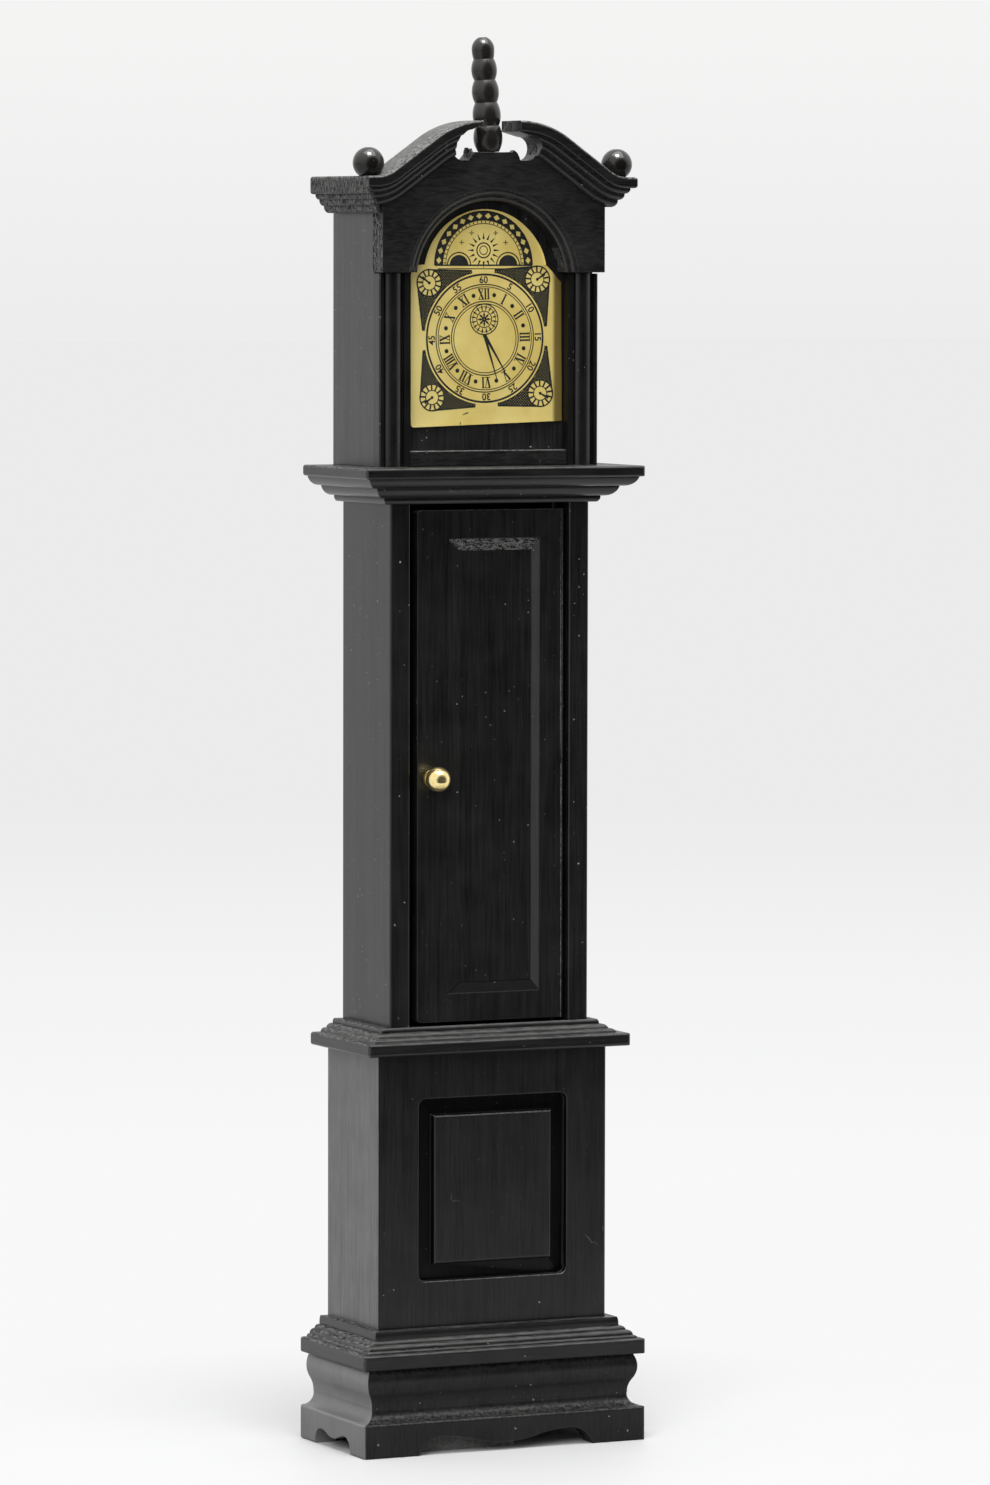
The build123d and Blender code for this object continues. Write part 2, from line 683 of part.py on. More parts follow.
arch = arch + plate(make_face(ear(right_ear)), arch_front_depth - ear_thickness, arch_front_depth)

# Centre finial: a string of turned beads on a dowel, leaning a little to the left
finial_edges = [
    Polyline(
        (0, -finial_dowel_length), (finial_dowel_radius, -finial_dowel_length), (finial_dowel_radius, 0),
        (finial_necks[0], 0),
    )
]
bead_z = 0
for (bead_radius, bead_length), neck_low, neck_high in zip(finial_beads, finial_necks, finial_necks[1:]):
    finial_edges.append(
        ThreePointArc(
            (neck_low, bead_z), (bead_radius, bead_z + bead_length / 2), (neck_high, bead_z + bead_length)
        )
    )
    bead_z = bead_z + bead_length
crown_waist = (finial_top_bead, bead_z + finial_top_foot)
crown_z = crown_waist[1] + finial_top_crown
finial_edges.append(TangentArc(crown_waist, (finial_necks[-1], bead_z), tangent=(0, -1)))
finial_edges.append(TangentArc(crown_waist, (finial_top_flat, crown_z), tangent=(0, 1)))
finial_edges.append(Polyline((finial_top_flat, crown_z), (0, crown_z), (0, -finial_dowel_length)))
finial_foot = Pos(-finial_shift, y_at(ear_middle), pedestal_z)
finial_seat = finial_foot * Rot(0, -finial_lean, 0)
dowel_hole = Pos(0, 0, -finial_dowel_length / 2) * Cylinder(
    finial_dowel_radius + glue_clearance, finial_dowel_length + 2 * glue_clearance
)
seat_cut = Pos(0, 0, finial_necks[0]) * Cylinder(finial_necks[0] + arris, 2 * finial_necks[0])
parts["arch_board"] = arch - finial_seat * seat_cut - finial_seat * dowel_hole
parts["centre_finial"] = finial_seat * revolve(Plane.XZ * make_face(finial_edges), Axis.Z)

# Swan necks and cornice returns, one reeded section swept up each neck and along each side
neck_section = reeded_profile(cornice_fillet, cornice_ledge, cornice_reeds, cornice_front_run)
section_plane = Plane(
    origin=(cornice_width / 2, y_at(cornice_depth), cornice_top_z), x_dir=(0, 1, 0), z_dir=(-1, 0, 0)
)
neck_path = Wire(front_plane(cornice_depth) * edge for edge in neck_line(cornice_width / 2))
neck = sweep(section_plane * neck_section, path=neck_path)
mitre = Polyline(
    (cornice_width / 2, y_at(cornice_depth)),
    (cornice_width / 2 - cornice_front_run, y_at(arch_front_depth)),
    (0, y_at(arch_front_depth)), (0, y_at(cornice_depth)), close=True,
)
neck = neck & column(make_face(mitre), arch_foot_z, neck_tip_z + arris)
parts["swan_neck_right"] = neck - plate(right_scroll, arch_front_depth, cornice_depth)
parts["swan_neck_left"] = mirrored(neck - plate(left_scroll, arch_front_depth, cornice_depth))
arch_end = board(-arch_width / 2, 0, hood_seam_depth, arch_front_depth, arch_foot_z, neck_tip_z)
cornice_end = board(-cornice_width / 2, 0, 0, cornice_back_gap, arch_foot_z, neck_tip_z)


def cornice_return(fillet_height):
    section = reeded_profile(fillet_height, cornice_ledge, cornice_reeds, cornice_side_run)
    strip = left_strip(section, cornice_width, cornice_depth, cornice_side_run, cornice_top_z, True)
    return strip - arch_end - cornice_end


parts["cornice_left"] = cornice_return(cornice_fillet + cornice_left_drop)
parts["cornice_right"] = mirrored(cornice_return(cornice_fillet))

# Ball finials: drilled beads with their feet sanded flat, standing on the cornice's corners
ball_half = ball_radius - ball_flat
ball_end_radius = sqrt(ball_radius**2 - ball_half**2)
ball_foot_radius = sqrt(ball_radius**2 - ball_foot**2)
ball_face = make_face(
    [
        Polyline(
            (ball_end_radius, ball_half), (ball_hole_radius, ball_half), (ball_hole_radius, -ball_foot),
            (ball_foot_radius, -ball_foot),
        ),
        ThreePointArc((ball_foot_radius, -ball_foot), (ball_radius, 0), (ball_end_radius, ball_half)),
    ]
)
ball = revolve(Plane.XZ * ball_face, Axis.Z)
ball_z = cornice_top_z + ball_foot
parts["ball_finial_left"] = Pos(-neck_low_x, y_at(cornice_depth - ball_setback), ball_z) * ball
parts["ball_finial_right"] = Pos(neck_low_x, y_at(cornice_depth - ball_right_setback), ball_z) * ball

# Foil dial: a thin arched sheet on the dial board, between the posts
foil_half = post_inner - foil_clearance
foil_left = foil_left_trim - foil_half
foil_arch_radius = arch_radius - foil_arch_gap
foil_arch_z = arch_centre_z + foil_arch_lift
shoulder_z = arch_foot_z + foil_shoulder
foil_neck = sqrt(foil_arch_radius**2 - (shoulder_z - foil_arch_z) ** 2)
foil_foot_z = hood_foot_z + foil_foot
foil = make_face(
    [
        Polyline(
            (-foil_neck, shoulder_z), (foil_left, shoulder_z), (foil_left, foil_foot_z),
            (foil_half, foil_foot_z), (foil_half, shoulder_z), (foil_neck, shoulder_z),
        ),
        ThreePointArc(
            (foil_neck, shoulder_z), (0, foil_arch_z + foil_arch_radius), (-foil_neck, shoulder_z)
        ),
    ]
)
foil_room = Pos(0, arch_centre_z) * Circle(arch_radius - foil_clearance)
foil_room += Pos(0, arch_foot_z - post_gap - post_height / 2) * Rectangle(hood_width, post_height)
parts["dial_foil"] = plate(foil & foil_room, hood_seam_depth, hood_seam_depth + foil_thickness)

os.makedirs("parts", exist_ok=True)
for name, solid in parts.items():
    export_step(solid, f"parts/{name}.step")
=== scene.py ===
from math import asin, atan2, cos, degrees, hypot, radians, sin

import bmesh
import bpy
from mathutils import Euler, Matrix, Vector


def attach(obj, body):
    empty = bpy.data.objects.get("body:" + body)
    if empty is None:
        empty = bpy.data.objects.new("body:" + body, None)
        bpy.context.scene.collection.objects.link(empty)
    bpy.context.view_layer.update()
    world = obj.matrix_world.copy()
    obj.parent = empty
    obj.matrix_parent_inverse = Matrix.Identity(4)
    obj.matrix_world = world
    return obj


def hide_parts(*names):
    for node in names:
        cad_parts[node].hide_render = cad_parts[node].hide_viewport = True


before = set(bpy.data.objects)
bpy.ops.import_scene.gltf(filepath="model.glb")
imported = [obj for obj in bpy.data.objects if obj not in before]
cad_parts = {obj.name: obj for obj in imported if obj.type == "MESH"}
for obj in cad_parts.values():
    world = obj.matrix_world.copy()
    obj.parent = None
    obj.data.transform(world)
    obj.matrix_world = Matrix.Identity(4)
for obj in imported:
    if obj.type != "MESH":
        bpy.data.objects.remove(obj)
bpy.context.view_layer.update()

# Plinth: three ogee strips on scalloped bracket feet, mitred at the front corners, a plain back and a floor.
# The strips are lengths of one planed wooden moulding, glued round the floor board and brushed with satin black
# paint that lets the grain show. House dust has settled on what faces upwards.


def add_node(tree, kind, inputs=None, **settings):
    """One node, its settings, and its inputs as values or as links from other nodes."""
    made = tree.nodes.new(kind)
    for key, value in settings.items():
        setattr(made, key, value)
    for key, value in (inputs or {}).items():
        if isinstance(value, bpy.types.NodeSocket):
            tree.links.new(value, made.inputs[key])
        else:
            made.inputs[key].default_value = value
    return made


def number(tree, operation, *values):
    """One sum on numbers of a material."""
    return add_node(tree, "ShaderNodeMath", dict(enumerate(values)), operation=operation).outputs[0]


def ramp(tree, value, low, high, bottom=0.0, top=1.0):
    """A number carried from one range to another and held inside it."""
    inputs = {"Value": value, "From Min": low, "From Max": high, "To Min": bottom, "To Max": top}
    return add_node(tree, "ShaderNodeMapRange", inputs).outputs[0]


def tint(tree, share, first, second):
    """Two colours mixed by a share."""
    return add_node(tree, "ShaderNodeMix", {0: share, 6: first, 7: second}, data_type="RGBA").outputs[2]


def noise(tree, place, scale, detail, roughness=0.5):
    """A cloudy pattern, finer where the scale is larger."""
    inputs = {"Vector": place, "Scale": scale, "Detail": detail, "Roughness": roughness}
    return add_node(tree, "ShaderNodeTexNoise", inputs).outputs[0]


def scattered(tree, place, scale):
    """Scattered points: the distance to the nearest one, and two numbers drawn for it."""
    cells = add_node(tree, "ShaderNodeTexVoronoi", {"Vector": place, "Scale": scale})
    drawn = add_node(tree, "ShaderNodeSeparateColor", {0: cells.outputs["Color"]}).outputs
    return cells.outputs["Distance"], drawn[0], drawn[1]


def object_place(tree):
    """The place on the object, in metres."""
    return add_node(tree, "ShaderNodeTexCoord").outputs["Object"]


def drawn_out(tree, place, axis, stretch):
    """A place drawn out along the fibres of the wood."""
    scale = {"X": (stretch, 1, 1), "Y": (1, stretch, 1), "Z": (1, 1, stretch)}[axis]
    return add_node(tree, "ShaderNodeMapping", {"Vector": place, "Scale": scale}).outputs[0]


def facing(tree):
    """The surface's normal, and how far it points upwards."""
    normal = add_node(tree, "ShaderNodeNewGeometry").outputs["Normal"]
    return normal, add_node(tree, "ShaderNodeSeparateXYZ", {0: normal}).outputs["Z"]


def relief(tree, height, strength, distance):
    """The normal of a surface with fine bumps."""
    inputs = {"Height": height, "Strength": strength, "Distance": distance}
    return add_node(tree, "ShaderNodeBump", inputs).outputs[0]


def new_finish(name):
    """An empty node material and its tree."""
    finish = bpy.data.materials.new(name)
    finish.use_nodes = True
    finish.node_tree.nodes.clear()
    return finish, finish.node_tree


def surfaced(finish, inputs):
    """A finish with its surface in place."""
    shader = add_node(finish.node_tree, "ShaderNodeBsdfPrincipled", inputs)
    add_node(finish.node_tree, "ShaderNodeOutputMaterial", {"Surface": shader.outputs[0]})
    return finish


def lint_on(tree, place, crumbs):
    """Ragged specks of lint, thicker in some patches, and a few faint curled hairs."""
    rare, hair_half_width, hair_strength = 0.80, 0.009, 0.2
    distance, chance, strength = scattered(tree, place, 1500)
    patches = ramp(tree, noise(tree, place, 130, 2), 0.35, 0.7, -0.05, 0.06)
    chance = number(tree, "ADD", chance, patches)
    ragged = number(tree, "MULTIPLY_ADD", number(tree, "SUBTRACT", crumbs, 0.5), 0.8, distance)
    speck = number(tree, "LESS_THAN", ragged, ramp(tree, chance, rare, 1.0, 0.03, 0.16))
    speck = number(tree, "MULTIPLY", speck, number(tree, "GREATER_THAN", chance, rare))
    strength = ramp(tree, number(tree, "POWER", strength, 2.5), 0.0, 1.0, 0.04, 1.0)
    speck = number(tree, "MULTIPLY", speck, strength)
    off_line = number(tree, "ABSOLUTE", number(tree, "SUBTRACT", noise(tree, place, 420, 1), 0.5))
    strand = number(tree, "LESS_THAN", off_line, hair_half_width)
    distance, _, luck = scattered(tree, place, 150)
    near = number(tree, "LESS_THAN", distance, ramp(tree, luck, rare, 1.0, 0.0, 0.26))
    hair = number(tree, "MULTIPLY", number(tree, "MULTIPLY", strand, near), hair_strength)
    return number(tree, "MAXIMUM", speck, hair)


def worn_corners(tree, normal, crumbs):
    """How far the paint is worn off in crumbs along sharp corners."""
    rounded = add_node(tree, "ShaderNodeBevel", {"Radius": 0.00022}, samples=4).outputs[0]
    turned = add_node(tree, "ShaderNodeVectorMath", {0: rounded, 1: normal}, operation="DOT_PRODUCT")
    corner = ramp(tree, turned.outputs["Value"], 0.985, 0.86)
    return number(tree, "MULTIPLY", corner, ramp(tree, crumbs, 0.40, 0.62, 0.1, 1.0))


def black_paint(name, axis, dust=0.4, rubbed=0.0, edges=0.0, side_light=0.0, body=1.0, grain_run=0.03, dust_run=1.0,
                bite=0.10, pitted=0.0, even=0.4, shine=0.5, pale=0.30):
    """Satin black paint over wood, with grain along one axis, lint, dust on what faces upwards and worn edges.

    dust, pale: how thick the dust lies and how pale it is; dust_run: how far it is streaked along the grain
    bite, pitted: how soft the crumbs of dust are at their edges, and how dull the paint is between them
    body, grain_run: how much of the wood shows through, and how long its streaks are (smaller is longer)
    side_light, even: how far the paint of side boards is greyed as painted light, and how evenly; shine: its
    gloss
    edges, rubbed: how far it is worn at sharp corners, and how far all over
    """
    deep_black, thin_black = (0.0022, 0.0022, 0.0023), (0.0160, 0.0157, 0.0153)
    rubbed_wood, worn_wood = (0.10, 0.098, 0.092, 1), (0.16, 0.155, 0.145, 1)
    dust_colour = (pale, 0.993 * pale, 0.96 * pale, 1)
    crumb_level = 0.505
    finish, tree = new_finish(name)
    place = object_place(tree)
    fibres = drawn_out(tree, place, axis, grain_run)
    grain = noise(tree, fibres, 4200, 5, 0.62)
    brush = noise(tree, fibres, 900, 2)
    cloud = noise(tree, place, 240, 4)
    crumbs = noise(tree, drawn_out(tree, place, axis, dust_run), 2300, 5, 0.7)
    normal, up = facing(tree)
    upward = ramp(tree, up, 0.15, 0.9)
    grit = ramp(tree, crumbs, crumb_level - bite, crumb_level + bite, 0.06, 1.0)
    settled = number(tree, "MULTIPLY", number(tree, "MULTIPLY", upward, grit), dust)
    lint = number(tree, "MAXIMUM", settled, lint_on(tree, place, crumbs))
    depth = number(tree, "MULTIPLY_ADD", grain, 0.68, number(tree, "MULTIPLY", cloud, 0.32))
    # Painted light: side_light pales the paint of the side boards, standing in for the light falling on them
    # from the side.
    deep = [part * body + even * side_light for part in deep_black] + [1]
    thin = [part * body + side_light for part in thin_black] + [1]
    black = tint(tree, ramp(tree, depth, 0.36, 0.68), deep, thin)
    if rubbed:
        bare = number(tree, "MULTIPLY", ramp(tree, crumbs, 0.30, 0.70, 0.2, 1.0), rubbed)
        black = tint(tree, bare, black, rubbed_wood)
    if edges:
        worn = number(tree, "MULTIPLY", worn_corners(tree, normal, crumbs), edges)
        black = tint(tree, worn, black, worn_wood)
    dull = number(tree, "MULTIPLY", lint, 0.5)
    proud = number(tree, "MULTIPLY", lint, 1.2)
    height = number(tree, "ADD", number(tree, "MULTIPLY_ADD", brush, 0.25, grain), proud)
    gloss = shine
    if pitted:
        gaps = number(tree, "MULTIPLY", upward, number(tree, "SUBTRACT", 1.0, grit))
        gloss = number(tree, "MULTIPLY_ADD", gaps, -pitted, shine)
    return surfaced(finish, {
        "Base Color": tint(tree, lint, black, dust_colour),
        "Roughness": number(tree, "ADD", ramp(tree, brush, 0.3, 0.7, 0.30, 0.37), dull),
        "Specular IOR Level": gloss,
        "Normal": relief(tree, height, 0.25, 0.00006),
    })


def paint(finish, *nodes):
    """Gives CAD pieces their finish."""
    for node in nodes:
        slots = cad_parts[node].data.materials
        slots.clear()
        slots.append(finish)


plinth_black = black_paint("black_paint_plinth", "Z", dust=0.14, edges=0.35, body=1.2, grain_run=0.07,
                           bite=0.04, pitted=0.3, shine=0.42)
# The plinth's sides are paler by painted light, for the light falling on them from the side.
side_lit_plinth = black_paint("side_lit_black_paint_plinth", "Z", dust=0.42, edges=0.45, side_light=0.20, grain_run=0.06,
                           even=0.75)
# Painted shade: a dull, darker black for the base's groove, the door field's foot bevel and the boards inside
# the case, standing in for the shade in those recesses.
shade_black = black_paint("black_paint_shade", "Z", dust=0.02, body=0.3, shine=0.2)
paint(plinth_black, "plinth_front", "plinth_back")
paint(side_lit_plinth, "plinth_left", "plinth_right")
paint(shade_black, "plinth_floor")

# Glue block and base top: offcuts of soft pale wood, sawn, left bare and greyed by dust.
# Both are glued inside the case, and the block shows through the scallop of the plinth's front strip.

bare_wood, tree = new_finish("bare_sawn_wood")
place = object_place(tree)
fibres = noise(tree, drawn_out(tree, place, "X", 0.5), 4800, 7, 0.75)
cloud = noise(tree, place, 420, 4)
depth = number(tree, "MULTIPLY_ADD", fibres, 0.85, number(tree, "MULTIPLY", cloud, 0.15))
surfaced(bare_wood, {
    "Base Color": tint(tree, ramp(tree, depth, 0.38, 0.62), (0.09, 0.089, 0.086, 1), (0.25, 0.247, 0.24, 1)),
    "Roughness": ramp(tree, fibres, 0.3, 0.7, 0.7, 0.95),
    "Normal": relief(tree, fibres, 0.5, 0.0001),
})
paint(bare_wood, "plinth_block", "base_top")

# Base box: a front panel with a routed rectangular groove between two plain sides, closed by a back.
# The boards are thin sheet wood with sanded edges, butted, glued and painted as one.

MM = 0.001
sharp = radians(28)
groove_front, groove_floor, groove_reach, groove_foot, groove_head = -5.75, -4.2, 10.6, 21.0, 46.0


def made_piece(bm, name, *finishes):
    """The object that a finished mesh becomes, with its finishes in order."""
    mesh = bpy.data.meshes.new(name)
    bm.to_mesh(mesh)
    bm.free()
    for finish in finishes:
        mesh.materials.append(finish)
    piece = bpy.data.objects.new(name, mesh)
    bpy.context.collection.objects.link(piece)
    return piece


def eased(node, arris, finish, body, name, soft=None, rough_and_shaded=(), crisp=None):
    """A board copied from its CAD solid, its outer edges sanded or left crisp, some faces in a rough finish or
    in the dull black of painted shade.
    """
    sanding = {"offset": arris * MM, "segments": 2, "profile": 0.5, "affect": "EDGES", "clamp_overlap": False,
               "loop_slide": True}
    bm = bmesh.new()
    bm.from_mesh(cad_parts[node].data)
    bmesh.ops.remove_doubles(bm, verts=bm.verts, dist=0.002 * MM)
    bmesh.ops.dissolve_limit(bm, angle_limit=radians(0.6), verts=bm.verts, edges=bm.edges)
    if soft:
        bmesh.ops.bevel(bm, geom=[edge for edge in bm.edges if soft(edge)], material=-1, **sanding)
    for face in bm.faces:
        face.material_index = 0
        for place, (chosen, _) in enumerate(rough_and_shaded):
            if chosen(face):
                face.material_index = 2 + place
    outer = [edge for edge in bm.edges if edge.is_convex and edge.calc_face_angle() > sharp]
    outer = [edge for edge in outer if not (crisp and crisp(edge))]
    bmesh.ops.bevel(bm, geom=outer, material=1, **sanding)
    bmesh.ops.recalc_face_normals(bm, faces=bm.faces)
    for face in bm.faces:
        face.smooth = True
    board = made_piece(bm, name, finish, rubbed_arris, *[face_finish for _, face_finish in rough_and_shaded])
    board.modifiers.new("flat_faces", "WEIGHTED_NORMAL").weight = 90
    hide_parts(node)
    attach(board, body)


def in_groove(face):
    """True on the floor and the walls of the routed groove."""
    x, y, z = face.calc_center_median() / MM
    return groove_front < y < groove_floor and abs(x) < groove_reach and groove_foot < z < groove_head


rubbed_arris = black_paint("rubbed_black_arris", "Z", dust=0.5, rubbed=0.06)
black_upright = black_paint("black_paint_upright", "Z", dust=0.4)
# The base's sides are paler by painted light, for the light falling on them from the side.
side_lit_upright = black_paint("side_lit_black_paint_upright", "Z", dust=0.4, side_light=0.155)
# The groove's floor and walls take the dull, darker black: painted shade in the recess.
eased("base_front", 0.06, black_upright, "case", "base_front_panel", rough_and_shaded=((in_groove, shade_black),))
for node in ("base_side_left", "base_side_right"):
    eased(node, 0.11, side_lit_upright, "case", node + "_panel")
paint(black_upright, "base_back")

# Base moulding and lower waist moulding: reeded strips round the foot of the base box and of the trunk.
# They are planed wooden strips, mitred at the front corners, glued on and painted with the case.

black_across = black_paint("black_paint_across", "X", dust=0.25, edges=0.45, dust_run=0.22)
black_along = black_paint("black_paint_along", "Y", dust=0.40, edges=0.45, dust_run=0.6, bite=0.04, pitted=0.5)
for moulding in ("base_moulding", "lower_waist_moulding"):
    paint(black_across, moulding + "_front")
    paint(black_along, moulding + "_left", moulding + "_right")

# Trunk: two thick sides whose front edges are the stiles beside the door, a back, a floor and a top.
# They are planed boards with sanded front arrises, glued between the two waist mouldings.

for node in ("trunk_side_left", "trunk_side_right"):
    eased(node, 0.12, black_upright, "case", node + "_board")
paint(black_upright, "trunk_back")
# The trunk's floor and top inside take the dull, darker black as painted shade.
paint(shade_black, "trunk_floor", "trunk_top")

# Hinge pins: two short lengths of wire, let into the boards at the trunk's foot and head, and coloured
# near-black as painted shade in the gap above the door.
# The door turns on them, so they stay with the case.


def bright_metal(name, colour, polish, tarnish, metal=1.0):
    """Turned metal with faint tool marks and dull patches."""
    finish, tree = new_finish(name)
    place = object_place(tree)
    cloud = noise(tree, place, 1300, 4)
    return surfaced(finish, {
        "Base Color": tint(tree, ramp(tree, cloud, 0.45, 0.75), colour, tarnish),
        "Metallic": metal,
        "Roughness": ramp(tree, cloud, 0.3, 0.7, polish, polish + 0.14),
        "Normal": relief(tree, noise(tree, place, 9000, 2), 0.06, 0.00002),
    })


# Near-black steel: painted shade, so that the pin in the gap above the door stays dark.
pin_steel = bright_metal("dark_pin_steel", (0.035, 0.035, 0.036, 1), 0.4, (0.02, 0.018, 0.016, 1))
paint(pin_steel, "hinge_pin_top", "hinge_pin_bottom")

# Door: one board with a raised field, bevelled on all four sides, and a rounded edge where it turns.
# It is shaped from solid wood, painted with the case, and hangs on a wire pin at its top and bottom.

field_foot_y, bevel_y, hinge_rim_x = -4.35, -4.45, 9.0


def worn_end(name, axis):
    """Coarse end grain under thin black paint: pale crumbs, dark pits and torn fibres."""
    pit_black, thin_black = (0.006, 0.006, 0.006, 1), (0.080, 0.079, 0.077, 1)
    pale_crumb = (0.36, 0.357, 0.345, 1)
    finish, tree = new_finish(name)
    place = object_place(tree)
    pits = noise(tree, drawn_out(tree, place, axis, 0.35), 3600, 5, 0.66)
    fine = noise(tree, place, 6500, 3, 0.6)
    depth = number(tree, "MULTIPLY_ADD", fine, 0.4, number(tree, "MULTIPLY", pits, 0.6))
    upward = ramp(tree, facing(tree)[1], 0.1, 0.9)
    dusted = number(tree, "MULTIPLY_ADD", upward, 0.55, 0.12)
    crumbs = number(tree, "MULTIPLY", ramp(tree, depth, 0.47, 0.57), dusted)
    black = tint(tree, ramp(tree, depth, 0.44, 0.57), pit_black, thin_black)
    return surfaced(finish, {
        "Base Color": tint(tree, crumbs, black, pale_crumb),
        "Roughness": ramp(tree, depth, 0.4, 0.6, 0.85, 0.42),
        "Specular IOR Level": ramp(tree, depth, 0.43, 0.53, 0.08, 0.55),
        "Normal": relief(tree, depth, 0.9, 0.00022),
    })


def field_edge(edge):
    """True on the edges of the raised field and of its bevels."""
    on_field = all(vert.co.y < field_foot_y * MM for vert in edge.verts)
    return on_field and len(edge.link_faces) == 2 and 0.1 < edge.calc_face_angle() < sharp


def top_bevel(face):
    """True on the bevel along the field's top, where the plane tore the end grain."""
    return face.calc_center_median().y < bevel_y * MM and 0.05 < face.normal.z < 0.8


def foot_bevel(face):
    """True on the bevel along the field's foot, which faces down and takes the dull, darker black as painted
    shade.
    """
    return face.calc_center_median().y < bevel_y * MM and -0.8 < face.normal.z < -0.05


def hinge_rim(edge):
    """True on the rims of the rounded hinge edge and of the pin holes."""
    return all(vert.co.x > hinge_rim_x * MM for vert in edge.verts)


torn_grain = worn_end("torn_wood_across", "X")
# The foot bevel's dull, darker black is painted shade.
eased("door", 0.11, black_upright, "door", "door_board", soft=field_edge,
      rough_and_shaded=((top_bevel, torn_grain), (foot_bevel, shade_black)), crisp=hinge_rim)

# Knob: a small turned brass ball on a collar, its stem glued into the door.
# The brass is polished and has gone a little brown.

knob_brass = bright_metal("knob_brass", (1.0, 0.83, 0.40, 1), 0.08, (0.90, 0.66, 0.24, 1), 0.93)
paint(knob_brass, "door_knob")

# Upper waist moulding: the widest reeded strips, under the hood, stepping out towards the top.
# They are planed, mitred and glued as the lower ones are.

paint(black_across, "upper_waist_moulding_front")
paint(black_along, "upper_waist_moulding_left", "upper_waist_moulding_right")

# Hood: two sides, a back, a top, a board behind the dial, a sill rail and two beaded posts.
# All are thin painted boards and strips, glued together; the posts are lengths of beading.

# The hood's sides are a little paler by painted light, for the light falling on them from the side.
hood_black = black_paint("black_paint_hood", "Z", side_light=0.025)
thin_upright = black_paint("thin_black_paint_upright", "Z", body=1.7)
thin_across = black_paint("thin_black_paint_across", "X", dust=0.75, body=1.7, grain_run=0.16)
post_black = black_paint("black_paint_post", "Z", body=0.7)
for node in ("hood_side_left", "hood_side_right"):
    eased(node, 0.08, hood_black, "case", node + "_panel")
eased("dial_board", 0.08, thin_upright, "case", "dial_board_panel")
eased("sill_rail", 0.14, thin_across, "case", "sill_rail_strip")
paint(post_black, "post_left", "post_right")
paint(black_upright, "hood_back", "hood_top")

# Dial: a cut piece of gold-coloured printed foil stuck on the dial board, creased along the right post.
# It is thin enough to bow and ripple, and its foot and the right of its arch curl forwards.
# Sizes here and in the printing are in millimetres.

foil_left, foil_right, foil_thickness = -10.35, 11.0, 0.06
arch_z, arch_r, shoulder_z = 149.8, 8.587, 151.35
foil_seat = 2.79
bow_rise, bow_middle, bow_reach = 0.16, 0.4, 11.5
crease_from, crease_x, crease_rise, crease_fall = 4.5, 9.55, 0.30, 0.24
lip_z, lip_curl = 132.6, 0.035
rim_r, rim_foot_z, rim_head_z, rim_fade, rim_curl = 7.75, 151.3, 156.5, 3, 0.06
facet, cuts_each_side, lowest_cut, cuts_up = 0.8, 14, 130.4, 36


def foil_rise(x, z):
    """How far the foil stands forward of the case's middle plane."""
    bow = bow_rise * (1 - ((x - bow_middle) / bow_reach) ** 2)
    ripple = 0.02 * sin(0.9 * x + 0.31 * z) + 0.018 * sin(0.47 * z - 0.6 * x + 1.0)
    swell = crease_rise * max(0.0, (x - crease_from) / (crease_x - crease_from)) ** 2
    if x >= crease_x:
        swell = crease_rise - crease_fall * (x - crease_x)
    lip = max(0.0, lip_z - z)
    rim = max(0.0, hypot(x, z - arch_z) - rim_r) if z > rim_foot_z else 0.0
    curl = rim_curl * max(0.0, x) * rim * rim * min(1.0, max(0.0, (rim_head_z - z) / rim_fade))
    return -(foil_seat + bow + ripple + swell + curl + lip_curl * lip * lip)


def cut_through(bm, point, direction):
    """Cuts every face along a plane."""
    bmesh.ops.bisect_plane(bm, geom=bm.verts[:] + bm.edges[:] + bm.faces[:], dist=1e-7, plane_co=point,
                           plane_no=direction)


def lay_on_foil(bm, lift):
    """Cuts flat shapes drawn in x and z into small facets and lays them on the foil."""
    bmesh.ops.triangulate(bm, faces=bm.faces)
    for step in range(-cuts_each_side, cuts_each_side + 1):
        cut_through(bm, (step * facet * MM, 0, 0), (1, 0, 0))
    for step in range(cuts_up):
        cut_through(bm, (0, 0, (lowest_cut + step * facet) * MM), (0, 0, 1))
    bmesh.ops.triangulate(bm, faces=bm.faces)
    for vert in bm.verts:
        vert.co.y = (foil_rise(vert.co.x / MM, vert.co.z / MM) - lift) * MM


def flat_face(bm, points):
    """One flat face from points given as x and z."""
    return bm.faces.new([bm.verts.new((x * MM, 0, z * MM)) for x, z in points])


def arc_points(cx, cz, radius, first, last, count):
    """Points on an arc, by angles in degrees."""
    steps = [radians(first + (last - first) * k / (count - 1)) for k in range(count)]
    return [(cx + radius * cos(a), cz + radius * sin(a)) for a in steps]


shoulder = degrees(asin((shoulder_z - arch_z) / arch_r))
outline = [(foil_left + 0.35, 130.66), (foil_left + 0.1, 130.76), (foil_left, 131.0), (foil_left, 149.9),
           (-10.05, 151.2)]
outline += arc_points(0, arch_z, arch_r, 180 - shoulder, shoulder, 40)
outline += [(8.62, 151.28), (10.5, 149.35), (10.86, 149.1), (foil_right, 131.45), (foil_right - 0.12, 131.36)]
foil_bm = bmesh.new()
flat_face(foil_bm, outline)
bmesh.ops.recalc_face_normals(foil_bm, faces=foil_bm.faces)
lay_on_foil(foil_bm, 0.0)
front = foil_bm.faces[:]
for face in front:
    if face.normal.y > 0:
        face.normal_flip()
thickened = bmesh.ops.extrude_face_region(foil_bm, geom=front)
for part in thickened["geom"]:
    if isinstance(part, bmesh.types.BMVert):
        part.co.y += foil_thickness * MM
bmesh.ops.recalc_face_normals(foil_bm, faces=foil_bm.faces)
for face in foil_bm.faces:
    face.smooth = abs(face.normal.y) > 0.5
for edge in foil_bm.edges:
    edge.smooth = len({face.smooth for face in edge.link_faces}) == 1

